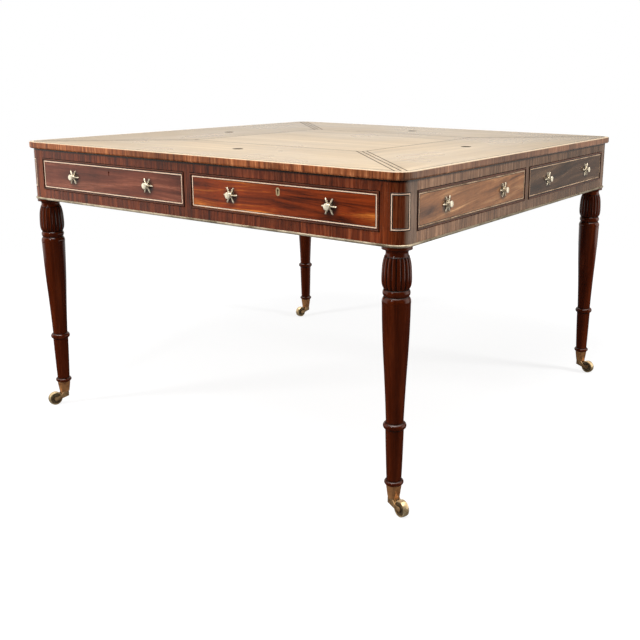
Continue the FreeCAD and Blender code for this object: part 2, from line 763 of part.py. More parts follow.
recess = block("dummy_recess", ("-opening_width / 2", "opening_width / 2"), ("0", "dummy_depth"),
               ("opening_bottom", "opening_top"))
board_bar = block("board_bar", rail_length, ("0", "side_board_thickness"), frieze_levels)
board_blank = fuse("board_blank", board_bar, tongue("board_top_tongue", *top_levels),
                   tongue("board_bottom_tongue", *bottom_levels))
board_mortise = placed("board_mortise", [centre_tongue("centre_rail_mortise", "joint_clearance")],
                       turn=QUARTER_TURN, y="frieze_half")
board = cut("board", board_blank, board_mortise, *on_both_places("recess_place", [recess, *knob_holes]))
sub_part("right_frieze_board", board, **RIGHT)
sub_part("left_frieze_board", board, **LEFT)
dummy_front = cut("dummy_front", front_blank("dummy_board", "dummy_depth"), cockbead_rebate, brass_string,
                  *knob_holes)
dummy_knobs = knob_pair("dummy_knob", knob, star)
for name, items in (("dummy_drawer_fronts", [dummy_front, cockbead]), ("dummy_knobs", dummy_knobs),
                    ("dummy_brass_strings", [brass_string])):
    sub_part(name, *on_both_sides(f"{name}_side", on_both_places(f"{name}_place", items)))

# The brass moulding along the frieze's lower edge, in four lengths that meet at the middle of each side
moulding = rounded_band("moulding", "moulding_height", "frieze_bottom", "frieze_half + moulding_projection",
                        "corner_radius + moulding_projection", "moulding_projection - inlay_clearance")
moulding_outside = size("frieze_half + moulding_projection / 2")
round_edges(moulding, "moulding_round",
            lambda box: box.ZLength < size("moulding_height / 2") and reach(box) > moulding_outside)
joint_half = "joint_clearance / 2"
moulding_joints = [
    block(f"moulding_joint_{i}", *faces, frieze_levels)
    for i, faces in enumerate(((("-half_width", "half_width"), (f"-{joint_half}", joint_half)),
                               ((f"-{joint_half}", joint_half), ("-half_width", "half_width"))))
]
sub_part("frieze_brass_moulding", cut("moulding_lengths", moulding, *moulding_joints))


# The legs and the posts over them, each about its leg's axis, with the rounded corner towards +X and -Y
def reeded_bulb():
    """The bulb of a leg, lofted through scalloped rings."""
    rings = []
    for height_share, swell_share in BULB_SHARES:
        level = size("bulb_bottom") + height_share * size("bulb_height")
        crest = size("bulb_end_radius") + swell_share * size("bulb_radius - bulb_end_radius")
        valley = crest - size("reed_depth")

        def rim(radius, step):
            angle = math.radians(FULL_TURN * step / REED_COUNT)
            return FreeCAD.Vector(radius * math.cos(angle), radius * math.sin(angle), level)

        arcs = [Part.Arc(rim(valley, reed), rim(crest, reed + 1 / 2), rim(valley, reed + 1))
                for reed in range(REED_COUNT)]
        rings.append(Part.Wire([arc.toShape() for arc in arcs]))
    item = doc.addObject("Part::Feature", "reeded_bulb")
    item.Shape = Part.makeLoft(rings, True)
    return item


def shaft_point(shares):
    """A radius and a height on the shaft."""
    length_share, taper_share = shares
    return f"shaft_foot_radius + {taper_share} * shaft_taper", f"shaft_top - {length_share} * shaft_length"


leg_neck = turned("leg_neck", [
    ("0", "bulb_top"), ("ledge_radius", "bulb_top"),
    ("neck_radius", "(bulb_top + cap_bottom) / 2", "ledge_radius", "cap_bottom"),
    ("corner_radius", "cap_bottom"), ("corner_radius", "frieze_bottom"),
    ("leg_pin_radius", "frieze_bottom"), ("leg_pin_radius", "frieze_bottom + leg_pin_length"),
    ("0", "frieze_bottom + leg_pin_length"),
])
spigot_radius = "socket_radius - joint_clearance"
shoulder_width_share, shoulder_height_share = SHOULDER_SHARES
leg_shaft = turned("leg_shaft", [
    ("0", "bulb_bottom"), ("ledge_radius", "bulb_bottom"),
    ("bead_radius", "(bulb_bottom + bead_bottom) / 2", "throat_radius", "bead_bottom"),
    (f"throat_radius + {shoulder_width_share} * (shaft_radius - throat_radius)",
     f"bead_bottom - {shoulder_height_share} * throat_height", "shaft_radius", "shaft_top"),
    (*shaft_point(SHAFT_UPPER_SHARES), *shaft_point(SHAFT_MIDDLE_SHARES)),
    (*shaft_point(SHAFT_LOWER_SHARES), "shaft_foot_radius", "ring_top"),
    ("ring_radius", "(ring_top + ring_bottom) / 2", "ankle_radius", "ring_bottom"),
    (f"foot_radius + {ANKLE_WAIST_SHARE} * (ankle_radius - foot_radius)", "(ring_bottom + collar_top) / 2",
     "foot_radius", "collar_top"),
    ("collar_radius", "(collar_top + collar_bottom) / 2", "cup_radius", "collar_bottom"),
    ("cup_radius", "cup_top"), (spigot_radius, "cup_top"), (spigot_radius, "socket_floor"),
    ("0", "socket_floor"),
])
post_blank = sawn("post_blank", "frieze_height", "frieze_bottom", [
    ("-post_reach", "-corner_radius"), ("0", "-corner_radius"),
    ("corner_radius * sqrt(0.5)", "-corner_radius * sqrt(0.5)", "corner_radius", "0"),
    ("corner_radius", "post_reach"), ("-post_reach", "post_reach"),
])


def mortise_pair(name, low, high):
    """The mortises in the two inner faces of a post for the tenons between two levels."""
    near = "-corner_radius + tenon_setback - joint_clearance"
    far = "-corner_radius + tenon_setback + tenon_thickness + joint_clearance"
    deep = "-post_reach + tenon_length + joint_clearance"
    levels = (f"{low} + tenon_shoulder - joint_clearance", f"{high} - tenon_shoulder + joint_clearance")
    return [block(f"{name}_one", ("-post_size", deep), (near, far), levels),
            block(f"{name}_other", mirrored((near, far)), mirrored(("-post_size", deep)), levels)]


def corner_sector(name, radius, angle, low, high):
    """An upright wedge of a cylinder about the leg's axis, centred on the rounded corner."""
    item = doc.addObject("Part::Cylinder", name)
    item.setExpression("Radius", bound(radius))
    item.setExpression("Height", bound(f"{high} - ({low})"))
    item.setExpression("Angle", bound(angle))
    turn = FreeCAD.Rotation(UP, -(QUARTER_TURN + size(angle)) / 2)
    item.Placement = FreeCAD.Placement(FreeCAD.Vector(), turn)
    item.setExpression("Placement.Base.z", bound(low))
    return item


def corner_frame(name, inner_radius):
    """The brass frame on a rounded corner, or the groove for it."""
    outside = corner_sector(f"{name}_outside", "corner_radius", "corner_string_angle",
                            "string_low", "corner_string_high")
    window = corner_sector(f"{name}_window", "corner_radius + inlay_depth",
                           "corner_string_angle - 2 * string_turn",
                           "string_low + string_width", "corner_string_high - string_width")
    inside = rod(f"{name}_inside", inner_radius, "frieze_height", z="frieze_bottom")
    return cut(name, outside, window, inside)


corner_string = corner_frame("corner_string", "corner_radius - inlay_depth + inlay_clearance")
corner_groove = corner_frame("corner_groove", "corner_radius - inlay_depth")
leg_pin_bore = rod("leg_pin_bore", "leg_pin_radius + joint_clearance", "leg_pin_length + joint_clearance",
                   z="frieze_bottom")
leg = fuse("leg", leg_neck, reeded_bulb(), leg_shaft)
post = cut("post", post_blank, *mortise_pair("top_mortise", *top_levels),
           *mortise_pair("bottom_mortise", *bottom_levels), corner_groove, leg_pin_bore)
for name, place in CORNERS.items():
    sub_part(f"{name}_leg", leg, **place)
for name, item in (("corner_posts", post), ("corner_brass_strings", corner_string)):
    sub_part(name, *(placed(f"{corner}_{name}", [item], **place) for corner, place in CORNERS.items()))

# The castors, each about its swivel axis, with the wheel trailing towards +X
pin_bore = "swivel_pin_radius + running_clearance"
cup = turned("cup", [
    (pin_bore, "cup_bottom"), ("cup_foot_radius", "cup_bottom"),
    (f"cup_foot_radius + {CUP_WAIST_SHARE} * (cup_radius - cup_foot_radius)", "(cup_bottom + cup_top) / 2",
     "cup_radius", "cup_top"),
    ("socket_radius", "cup_top"), ("socket_radius", "socket_floor"), (pin_bore, "socket_floor"),
])
boss = turned("boss", [
    ("0", "boss_bottom"), ("boss_radius", "boss_bottom"), ("boss_radius", "boss_top"),
    ("swivel_pin_radius", "boss_top"), ("swivel_pin_radius", "boss_top + swivel_pin_length"),
    ("0", "boss_top + swivel_pin_length"),
])
horn_back = f"-{HORN_BACK_SHARE} * boss_radius"
crest_reach_share, crest_rise_share = HORN_CREST_SHARES
horn_profile, horn_sketch = sketched_body("horn_profile", "XZ_Plane", [
    (horn_back, "boss_top - horn_root_height"), (horn_back, "boss_top"),
    (f"{HORN_BACK_SHARE} * boss_radius", "boss_top"),
    (f"{crest_reach_share} * castor_trail", f"wheel_radius + {crest_rise_share} * axle_boss_radius",
     "castor_trail", "wheel_radius + axle_boss_radius"),
    ("castor_trail + axle_boss_radius", "wheel_radius", "castor_trail", "wheel_radius - axle_boss_radius"),
])
horn_pad = horn_profile.newObject("PartDesign::Pad", "horn_pad")
horn_pad.Profile = horn_sketch
horn_pad.SideType = "Symmetric"
horn_pad.setExpression("Length", bound("2 * horn_half"))
wheel_slot = block("wheel_slot", ("castor_trail - wheel_radius - wheel_gap / 2", "2 * castor_trail"),
                   ("-wheel_width / 2 - cheek_gap", "wheel_width / 2 + cheek_gap"), ("0", "2 * cup_bottom"))
wheel_bore = "axle_radius + running_clearance"
axle_hole = rod("axle_hole", wheel_bore, "2 * horn_half", x="castor_trail", y="horn_half", z="wheel_radius",
                turn=QUARTER_TURN)
axle = rod("axle", "axle_radius", "2 * horn_half", x="castor_trail", y="horn_half", z="wheel_radius",
           turn=QUARTER_TURN)
horn = fuse("horn", cut("horn_fork", horn_profile, wheel_slot, axle_hole), boss)
rim_inner = "wheel_radius - rim_thickness"
tread_edge = "wheel_radius - wheel_crown"
face, sunk = "wheel_width / 2", "(wheel_width / 2 - wheel_recess)"
wheel = turned("wheel", [
    (wheel_bore, f"-{face}"), ("hub_radius", f"-{face}"), ("hub_radius", f"-{sunk}"),
    (rim_inner, f"-{sunk}"), (rim_inner, f"-{face}"), (tread_edge, f"-{face}"),
    ("wheel_radius", "0", tread_edge, face), (rim_inner, face), (rim_inner, sunk), ("hub_radius", sunk),
    ("hub_radius", face), (wheel_bore, face),
])
wheel_on_axle = placed("wheel_on_axle", [wheel], x="castor_trail", z="wheel_radius", turn=QUARTER_TURN,
                       axis=ACROSS)
sub_part("castor_cups", *(placed(f"{name}_cup", [cup], **place) for name, place in CORNERS.items()))
for name, place in CORNERS.items():
    rest = {"x": place["x"], "y": place["y"], "turn": size(f"{name}_castor_angle")}
    sub_part(f"{name}_castor_horn", horn, axle, **rest)
    sub_part(f"{name}_castor_wheel", wheel_on_axle, **rest)

# Every object has to have worked before any file is written
doc.recompute()
failed = [item.Name for item in doc.Objects if {"Invalid", "Error"} & set(item.State)]
failed += [item.Label for item in sub_parts if item.Shape.isNull() or not item.Shape.isValid()]
if failed:
    raise RuntimeError(f"these failed: {failed}")
os.makedirs("parts", exist_ok=True)
for item in sub_parts:
    item.Shape.exportStep(f"parts/{item.Label}.step")
    print(item.Label, len(item.Shape.Solids), "solids", round(item.Shape.Volume), "mm3")
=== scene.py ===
import math
import bmesh
import bpy
from mathutils import Matrix, Vector


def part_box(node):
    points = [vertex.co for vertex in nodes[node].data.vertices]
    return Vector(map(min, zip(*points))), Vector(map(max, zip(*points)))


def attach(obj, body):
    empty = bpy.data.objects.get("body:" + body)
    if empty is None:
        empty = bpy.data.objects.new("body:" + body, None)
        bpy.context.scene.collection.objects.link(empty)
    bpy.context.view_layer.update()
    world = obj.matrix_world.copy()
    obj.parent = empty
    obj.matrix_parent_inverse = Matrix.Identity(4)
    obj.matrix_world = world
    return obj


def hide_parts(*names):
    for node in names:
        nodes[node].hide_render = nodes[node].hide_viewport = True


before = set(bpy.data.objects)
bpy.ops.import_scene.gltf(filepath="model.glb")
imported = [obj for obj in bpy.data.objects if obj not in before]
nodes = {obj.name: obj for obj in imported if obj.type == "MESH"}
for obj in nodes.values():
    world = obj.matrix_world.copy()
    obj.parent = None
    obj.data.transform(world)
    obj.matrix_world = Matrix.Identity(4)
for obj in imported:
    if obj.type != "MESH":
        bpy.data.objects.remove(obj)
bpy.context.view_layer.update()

bpy.context.scene.view_settings.view_transform = "Standard"


# The carcase inside the frieze
# A centre rail across the middle, and the runners, guides and kickers that the drawers slide on,
# between and under. All are bare oak, sawn, planed and glued, and seen only through an open drawer
# or from below.
def add(tree, kind, inputs=None, **settings):
    """A node with its settings, and its inputs joined to wires or set to values."""
    node = tree.nodes.new(kind)
    for name, value in settings.items():
        setattr(node, name, value)
    for name, value in (inputs or {}).items():
        if isinstance(value, Wire):
            value.to(node.inputs[name])
        else:
            node.inputs[name].default_value = value
    return node


def wire(tree, kind, output, inputs=None, **settings):
    return Wire(add(tree, kind, inputs, **settings).outputs[output])


def wires(sockets):
    return {socket.name: Wire(socket) for socket in sockets}


def number(operation, *values, **settings):
    tree = next(value.tree for value in values if isinstance(value, Wire))
    return wire(tree, "ShaderNodeMath", "Value", dict(enumerate(values)), operation=operation, **settings)


class Wire:
    """What a node gives. A sum or product of wires adds the node that works it out."""

    def __init__(self, socket):
        self.socket = socket
        self.tree = socket.id_data

    def to(self, socket):
        self.tree.links.new(self.socket, socket)

    def __add__(self, other):
        return number("ADD", self, other)

    def __sub__(self, other):
        return number("SUBTRACT", self, other)

    def __rsub__(self, other):
        return number("SUBTRACT", other, self)

    def __mul__(self, other):
        return number("MULTIPLY", self, other)

    def __truediv__(self, other):
        return number("DIVIDE", self, other)

    def __rtruediv__(self, other):
        return number("DIVIDE", other, self)

    def __abs__(self):
        return number("ABSOLUTE", self)

    def vector(self, operation, other, output="Vector"):
        return wire(self.tree, "ShaderNodeVectorMath", output, {0: self, 1: other}, operation=operation)

    def axis(self, name):
        return wire(self.tree, "ShaderNodeSeparateXYZ", name, {"Vector": self})

    def ramp(self, low, high, to_low=0.0, to_high=1.0):
        """The number spread smoothly between two limits."""
        return wire(self.tree, "ShaderNodeMapRange", "Result", {
            "Value": self, "From Min": low, "From Max": high, "To Min": to_low, "To Max": to_high},
            interpolation_type="SMOOTHSTEP")

    def noise(self, scale, detail=2.0, roughness=0.5, distortion=0.0, output="Fac"):
        return wire(self.tree, "ShaderNodeTexNoise", output, {
            "Vector": self, "Scale": scale, "Detail": detail, "Roughness": roughness,
            "Distortion": distortion})

    def blend(self, first, second):
        """One colour that turns into another as the number goes from nought to one."""
        # A mix node takes its colours at sockets 6 and 7 and gives their blend at 2
        return wire(self.tree, "ShaderNodeMix", 2, {0: self, 6: first, 7: second}, data_type="RGBA")

    def toned(self, value):
        return wire(self.tree, "ShaderNodeHueSaturation", "Color", {"Color": self, "Value": value})


def new_group(name, inputs, outputs, kind="ShaderNodeTree"):
    """An empty group of nodes: what it is given, and the sockets that its results go to."""
    group = bpy.data.node_groups.new(name, kind)
    for in_out, sockets in (("INPUT", inputs), ("OUTPUT", outputs)):
        for socket_name, value in sockets.items():
            group.interface.new_socket(name=socket_name, in_out=in_out, socket_type=f"NodeSocket{value}")
    start = group.nodes.new("NodeGroupInput")
    end = group.nodes.new("NodeGroupOutput")
    return group, wires(start.outputs), end.inputs


def use_group(tree, group, inputs):
    return wires(add(tree, "ShaderNodeGroup", inputs, node_tree=group).outputs)


def wood_figure_group():
    """The figure of a board whose grain runs along X: streaks, cross mottle and open pores."""
    group, given, result = new_group(
        "wood_figure",
        {"Vector": "Vector", "Streak Width": "Float", "Dark": "Color", "Middle": "Color", "Light": "Color",
         "Mottle": "Float", "Pores": "Float", "Clouds": "Float"},
        {"Color": "Color", "Streak": "Float", "Height": "Float"})
    bend = given["Vector"].noise(3.2, output="Color").vector("SUBTRACT", (0.5, 0.5, 0.5))
    bent = given["Vector"].vector("ADD", bend.vector("MULTIPLY", (0.07, 0.03, 0.03)))

    def marks(stretch, detail, roughness=0.5, distortion=0.0):
        return bent.vector("MULTIPLY", stretch).noise(1.0, detail, roughness, distortion)

    across = 1.0 / given["Streak Width"]
    stretch = wire(group, "ShaderNodeCombineXYZ", "Vector", {"X": across * 0.055, "Y": across, "Z": across})
    streaks = marks(stretch, 6.0, 0.62, 0.5)
    mottle = (marks((46.0, 9.0, 9.0), 3.0, 0.6) - 0.5) * given["Mottle"]
    pores = marks((60.0, 1300.0, 1300.0), 1.0).ramp(0.56, 0.7) * given["Pores"]
    clouds = (marks((6.0, 16.0, 16.0), 2.0) - 0.5) * given["Clouds"]
    fine = (marks((14.0, 380.0, 380.0), 3.0, 0.6) - 0.5) * given["Pores"]
    colour = streaks.ramp(0.3, 0.52).blend(given["Dark"], given["Middle"])
    colour = streaks.ramp(0.5, 0.7).blend(colour, given["Light"])
    colour.toned(mottle + 1.0 - pores * 0.5 + clouds + fine).to(result["Color"])
    streaks.to(result["Streak"])
    (streaks * 0.25 - pores).to(result["Height"])
    return group


WOOD_FIGURE = wood_figure_group()
GRAIN_TURNS = {"X": (0, 0, 0), "Y": (0, 0, -math.pi / 2), "Z": (0, math.pi / 2, 0)}


def paint(red, green, blue):
    """A colour written as a screen shows it, turned to the light that it stands for."""
    def light(level):
        share = level / 255
        return share / 12.92 if share <= 0.04045 else ((share + 0.055) / 1.055) ** 2.4

    return light(red), light(green), light(blue), 1.0


def new_material(name, **finish):
    """A material with constants on its own shader; the place of each spot, and the shader's sockets."""
    material = bpy.data.materials.new(name)
    material.use_nodes = True
    sockets = material.node_tree.nodes["Principled BSDF"].inputs
    for socket, value in finish.items():
        sockets[socket.replace("_", " ")].default_value = value
    return material, wire(material.node_tree, "ShaderNodeTexCoord", "Object"), sockets


def figure(place, along, colours, streak_width, mottle, pores, clouds=0.0, shift=(0, 0, 0)):
    """What the wood figure gives with its grain laid along an axis."""
    turned = wire(place.tree, "ShaderNodeMapping", "Vector", {
        "Vector": place, "Rotation": GRAIN_TURNS[along], "Location": shift})
    dark, middle, light = colours
    return use_group(place.tree, WOOD_FIGURE, {
        "Vector": turned, "Streak Width": streak_width, "Dark": dark, "Middle": middle, "Light": light,
        "Mottle": mottle, "Pores": pores, "Clouds": clouds})


def bump(sockets, height, strength, distance=0.0003):
    wire(height.tree, "ShaderNodeBump", "Normal", {
        "Height": height, "Strength": strength, "Distance": distance}).to(sockets["Normal"])


def colour_wood(sockets, wood, colour, shine):
    """Joins up a wood's colour, and its roughness from the dark streaks to the light."""
    colour.to(sockets["Base Color"])
    wood["Streak"].ramp(0.3, 0.7, *shine).to(sockets["Roughness"])


def dress(material, *names):
    for name in names:
        nodes[name].material_slots[0].material = material


OAK = (paint(112, 82, 52), paint(150, 114, 74), paint(176, 140, 96))


def bare_oak(name, along):
    material, place, sockets = new_material(name, Specular_IOR_Level=0.25)
    wood = figure(place, along, OAK, streak_width=0.014, mottle=0.16, pores=0.9)
    colour_wood(sockets, wood, wood["Color"], shine=(0.62, 0.78))
    bump(sockets, wood["Height"], strength=0.35, distance=0.0004)
    return material


oak_along = bare_oak("bare_oak_along", "Y")
dress(bare_oak("bare_oak_across", "X"), "centre_rail")
dress(oak_along, "drawer_runners", "drawer_guides", "drawer_kickers")


# The frieze
# Rails over and under the drawers, stiles between them, solid boards on the two dummy sides and four
# corner posts. All are mahogany, crossbanded in short upright pieces of veneer and french polished,
# so the colour steps a little from one piece to the next.
def veneer_pieces_group():
    """A band laid in short pieces: how light each piece is, and the fine seams between them."""
    group, given, result = new_group(
        "veneer_pieces", {"Along": "Float", "Piece Length": "Float", "Contrast": "Float"},
        {"Tone": "Float", "Seam": "Float"})
    wander = number("SINE", given["Along"] * 23.0)
    steps = given["Along"] / given["Piece Length"] + wander * 0.3
    chance = wire(group, "ShaderNodeTexWhiteNoise", "Value", {"W": number("FLOOR", steps)},
                  noise_dimensions="1D")
    ((chance - 0.5) * given["Contrast"] + 1.0).to(result["Tone"])
    abs(number("FRACT", steps) - 0.5).ramp(0.488, 0.499).to(result["Seam"])
    return group


VENEER_PIECES = veneer_pieces_group()
FRIEZE = (paint(58, 19, 8), paint(102, 43, 19), paint(138, 69, 36))
# The side palettes are paler and greyer: painted light and sheen of the left and right faces
SIDE_LIT_FRIEZE = (paint(80, 52, 34), paint(125, 90, 65), paint(158, 120, 92))
POST = (paint(58, 19, 4), paint(104, 42, 12), paint(138, 67, 25))
SIDE_LIT_POST = (paint(84, 62, 48), paint(112, 86, 68), paint(134, 106, 86))
# Dark seams between veneer pieces, and painted shade in the quirks, round the knobs and under the top
GRIME_AND_SHADE = paint(26, 11, 7)
FRIEZE_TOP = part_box("front_top_rail")[1].z
# Painted shadow just under the top's lipping
TOP_SHADOW_START, TOP_SHADOW_FULL = FRIEZE_TOP - 0.008, FRIEZE_TOP - 0.002
SEAM_GRIME = 0.6
# Painted light: over this reach each band is lit lighter at one end and darker at the other
FALLOFF_REACH = 0.5


def veneer_pieces(position, length, contrast):
    return use_group(position.tree, VENEER_PIECES, {
        "Along": position, "Piece Length": length, "Contrast": contrast})


def on_side_faces(place, low, high):
    """How far a spot lies on the left and right faces rather than on the front and back ones."""
    return (abs(place.axis("X")) - abs(place.axis("Y"))).ramp(low, high)


def blend_palettes(share, first, second):
    return [share.blend(*pair) for pair in zip(first, second)]


def crossbanded(name, along, colours, piece_length, contrast, light_falloff=(1.0, 1.0), side_lit_colours=None):
    """Polished mahogany with upright grain, in pieces set side by side along an axis with dark seams between,
    painted lighter or darker from end to end as light falls, and with a painted shadow under the top."""
    material, place, sockets = new_material(name, Specular_IOR_Level=0.4, Coat_Weight=0.1,
                                            Coat_Roughness=0.2)
    # Painted light: where a post turns onto a left or right face, the paler, greyer side palette is blended
    # in
    if side_lit_colours:
        colours = blend_palettes(on_side_faces(place, low=0.006, high=0.017), colours, side_lit_colours)
    wood = figure(place, "Z", colours, streak_width=0.011, mottle=0.5, pores=0.9, clouds=1.1)
    position = place.axis(along)
    pieces = veneer_pieces(position, piece_length, contrast)
    # Painted light: the pieces' own tone, lit lighter or darker from end to end
    toned_and_lit = wood["Color"].toned(pieces["Tone"] * position.ramp(-FALLOFF_REACH, FALLOFF_REACH, *light_falloff))
    # Dark seams between the pieces, and a painted shadow under the top
    darkening = number("MAXIMUM", pieces["Seam"] * SEAM_GRIME, place.axis("Z").ramp(TOP_SHADOW_START, TOP_SHADOW_FULL))
    colour_wood(sockets, wood, darkening.blend(toned_and_lit, GRIME_AND_SHADE), shine=(0.2, 0.32))
    bump(sockets, wood["Height"], strength=0.2)
    return material


# Painted light: on the front the left end is darker and the right lighter; on the sides the near end is much
# lighter than the far
frieze_front = crossbanded("frieze_crossbanding_front", "X", FRIEZE, piece_length=0.07, contrast=0.3,
                           light_falloff=(0.86, 1.05))
frieze_side = crossbanded("frieze_crossbanding_side", "Y", SIDE_LIT_FRIEZE, piece_length=0.07, contrast=0.24,
                          light_falloff=(1.26, 0.5))
post_veneer = crossbanded("corner_post_veneer", "X", POST, piece_length=0.2, contrast=0.1,
                          side_lit_colours=SIDE_LIT_POST)
dress(frieze_front, "front_top_rail", "front_bottom_rail", "back_top_rail", "back_bottom_rail",
      "centre_stiles")
dress(frieze_side, "left_frieze_board", "right_frieze_board")
dress(post_veneer, "corner_posts")


# The drawer fronts
# Real ones at the front and back, dummies on the two sides: mahogany veneer with level grain, and a
# dark cock bead round the edge that stands a little proud and hides the edge of the veneer. The quirks
# beside the bead are painted dark as shade, and a shadow is painted round each knob.
BEAD = (paint(62, 28, 16), paint(92, 48, 30), paint(118, 66, 44))
FIERY = (paint(42, 9, 2), paint(130, 49, 11), paint(206, 116, 42))
BROWN = (paint(36, 13, 8), paint(101, 49, 34), paint(145, 84, 62))
GOLDEN = (paint(74, 40, 20), paint(149, 97, 58), paint(212, 158, 108))
GREYED = (paint(26, 15, 9), paint(68, 45, 30), paint(104, 77, 54))


def middle_and_half(name, axis):
    low, high = (corner[axis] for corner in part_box(name))
    return (high + low) / 2, (high - low) / 2


OPENING_CENTRE, FRONT_HALF = middle_and_half("front_right_drawer_front", 0)
FRONT_LEVEL, FRONT_RISE = middle_and_half("front_right_drawer_front", 2)
FRIEZE_FACE = -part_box("front_right_drawer_string")[0].y
BEAD_WIDTH = 0.004
BEAD_EDGE = 0.0002
QUIRK_CORE, QUIRK_EDGE = 0.0004, 0.001
KNOB_SPREAD = 0.282
KNOB_LEVEL = middle_and_half("front_right_drawer_knobs", 2)[0]
# A painted shadow round each knob: its darkness, where it fades, and how far it leans aside and down
KNOB_SHADOW = 0.88
KNOB_SHADOW_CORE, KNOB_SHADOW_EDGE = 0.011, 0.029
KNOB_SHADOW_LEAN = 0.0025
# The painted shade lies only on the outer face: full within the first depth, gone past the second
SHADE_DEPTH, UNSHADED_DEPTH = 0.0005, 0.0015


def distance(across, up):
    return number("SQRT", across * across + up * up)


def drawer_veneer(name, along, near, far, shift, lean, slant=0.0):
    """A panel of grain inside the dark bead, with one veneer before the middle of the face and one after."""
    material, place, sockets = new_material(name, Specular_IOR_Level=0.4, Coat_Weight=0.12,
                                            Coat_Roughness=0.14)
    position, level = place.axis(along), place.axis("Z")
    colours = blend_palettes(number("GREATER_THAN", position, 0.0), near, far)
    rise = wire(place.tree, "ShaderNodeCombineXYZ", "Vector", {"Z": position * slant})
    wood = figure(place.vector("ADD", rise), along, colours, streak_width=0.024, mottle=0.4, pores=0.7,
                  clouds=0.9, shift=shift)
    bead = figure(place, along, BEAD, streak_width=0.006, mottle=0.1, pores=0.4)
    from_end = FRONT_HALF - abs(abs(position) - OPENING_CENTRE)
    from_edge = number("MINIMUM", from_end, FRONT_RISE - abs(level - FRONT_LEVEL))
    inside = from_edge.ramp(BEAD_WIDTH - BEAD_EDGE, BEAD_WIDTH + BEAD_EDGE)
    from_quirk = number("MINIMUM", from_edge, abs(from_edge - BEAD_WIDTH))
    from_knob = distance(abs(abs(position - lean) - OPENING_CENTRE) - KNOB_SPREAD / 2,
                         level - (KNOB_LEVEL - KNOB_SHADOW_LEAN))
    # Painted shade in the quirks beside the bead, and a painted shadow round each knob
    darkening = number("MAXIMUM", from_quirk.ramp(QUIRK_CORE, QUIRK_EDGE, 1.0, 0.0),
                   from_knob.ramp(KNOB_SHADOW_CORE, KNOB_SHADOW_EDGE, KNOB_SHADOW, 0.0))
    outer = abs(place.axis("Y" if along == "X" else "X"))
    darkening = darkening * outer.ramp(FRIEZE_FACE - UNSHADED_DEPTH, FRIEZE_FACE - SHADE_DEPTH)
    unshaded = inside.blend(bead["Color"], wood["Color"])
    colour_wood(sockets, wood, darkening.blend(unshaded, GRIME_AND_SHADE), shine=(0.18, 0.28))
    bump(sockets, wood["Height"], strength=0.15)
    return material


DRAWERS = {"front_left": (-1, "front"), "front_right": (1, "front"), "back_left": (-1, "back"),
           "back_right": (1, "back")}
VENEERS = {
    "front": drawer_veneer("drawer_veneer_front", "X", BROWN, FIERY, shift=(0.31, 0.0, 0.07), lean=KNOB_SHADOW_LEAN),
    "back": drawer_veneer("drawer_veneer_back", "X", FIERY, BROWN, shift=(0.9, 0.0, 0.4), lean=-KNOB_SHADOW_LEAN)}
for drawer, (_, face) in DRAWERS.items():
    dress(VENEERS[face], f"{drawer}_drawer_front")
dress(drawer_veneer("drawer_veneer_side", "Y", GOLDEN, GREYED, shift=(0.55, 0.0, 0.2), lean=-KNOB_SHADOW_LEAN,
                    slant=-0.09), "dummy_drawer_fronts")


# The ebony stringing
# Thin black lines on both sides of each brass string, on the drawers, the dummies and the rounded
# corners. Each is a slip of ebony laid in the same groove as the brass, butted at the corners.
EBONY = (paint(18, 12, 9), paint(33, 23, 17), paint(58, 43, 32))
FACES = {"front": (Vector((1, 0, 0)), Vector((0, -1, 0))), "right": (Vector((0, 1, 0)), Vector((1, 0, 0))),
         "back": (Vector((-1, 0, 0)), Vector((0, 1, 0))), "left": (Vector((0, -1, 0)), Vector((-1, 0, 0)))}
CORNERS = {"front_right": (1, -1), "back_right": (1, 1), "back_left": (-1, 1), "front_left": (-1, -1)}
UP = Vector((0, 0, 1))
LINE_WIDTH = 0.0012
LINE_THICKNESS = 0.0002
LINE_LAP = 0.0004
STRING_WIDTH = 0.003
STRING_HALF = middle_and_half("front_right_drawer_string", 0)[1]
STRING_LEVEL, STRING_RISE = middle_and_half("front_right_drawer_string", 2)
corner_low, corner_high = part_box("corner_brass_strings")
CORNER_RADIUS = 0.033
CORNER_LINE_WIDTH = 0.0021
CORNER_HALF_ANGLE = math.radians(38)
ARC_STEPS = 14
LEG_AXIS = FRIEZE_FACE - CORNER_RADIUS


def ebony_wood(name, **finish):
    material, place, sockets = new_material(name, **finish)
    wood = figure(place, "X", EBONY, streak_width=0.004, mottle=0.1, pores=0.3)
    colour_wood(sockets, wood, wood["Color"], shine=(0.36, 0.52))
    return material


def new_tree(name, inputs):
    """An empty tree of geometry nodes with named inputs, and the ends of its wires."""
    sockets = {"Geometry": "Geometry", **inputs, "Material": "Material"}
    return new_group(name, sockets, {"Geometry": "Geometry"}, "GeometryNodeTree")


def end_tree(tree, geometry, given, result):
    plain = wire(tree, "GeometryNodeRealizeInstances", "Geometry", {"Geometry": geometry})
    wire(tree, "GeometryNodeSetMaterial", "Geometry", {
        "Geometry": plain, "Material": given["Material"]}).to(result["Geometry"])


def point_vector(tree, name):
    return wire(tree, "GeometryNodeInputNamedAttribute", "Attribute", {"Name": name},
                data_type="FLOAT_VECTOR")


def laid_line_tree():
    """A flat slip laid along each run of edges, with its face along the points' face_normal."""
    tree, given, result = new_tree("laid_line", {"Width": "Float", "Thickness": "Float"})
    curve = wire(tree, "GeometryNodeMeshToCurve", "Curve", {"Mesh": given["Geometry"]})
    turned = wire(tree, "GeometryNodeSetCurveNormal", "Curve", {
        "Curve": curve, "Normal": point_vector(tree, "face_normal")}, mode="FREE")
    section = wire(tree, "GeometryNodeCurvePrimitiveQuadrilateral", "Curve", {
        "Width": given["Thickness"], "Height": given["Width"]})
    swept = wire(tree, "GeometryNodeCurveToMesh", "Mesh", {
        "Curve": turned, "Profile Curve": section, "Fill Caps": True})
    end_tree(tree, swept, given, result)
    return tree


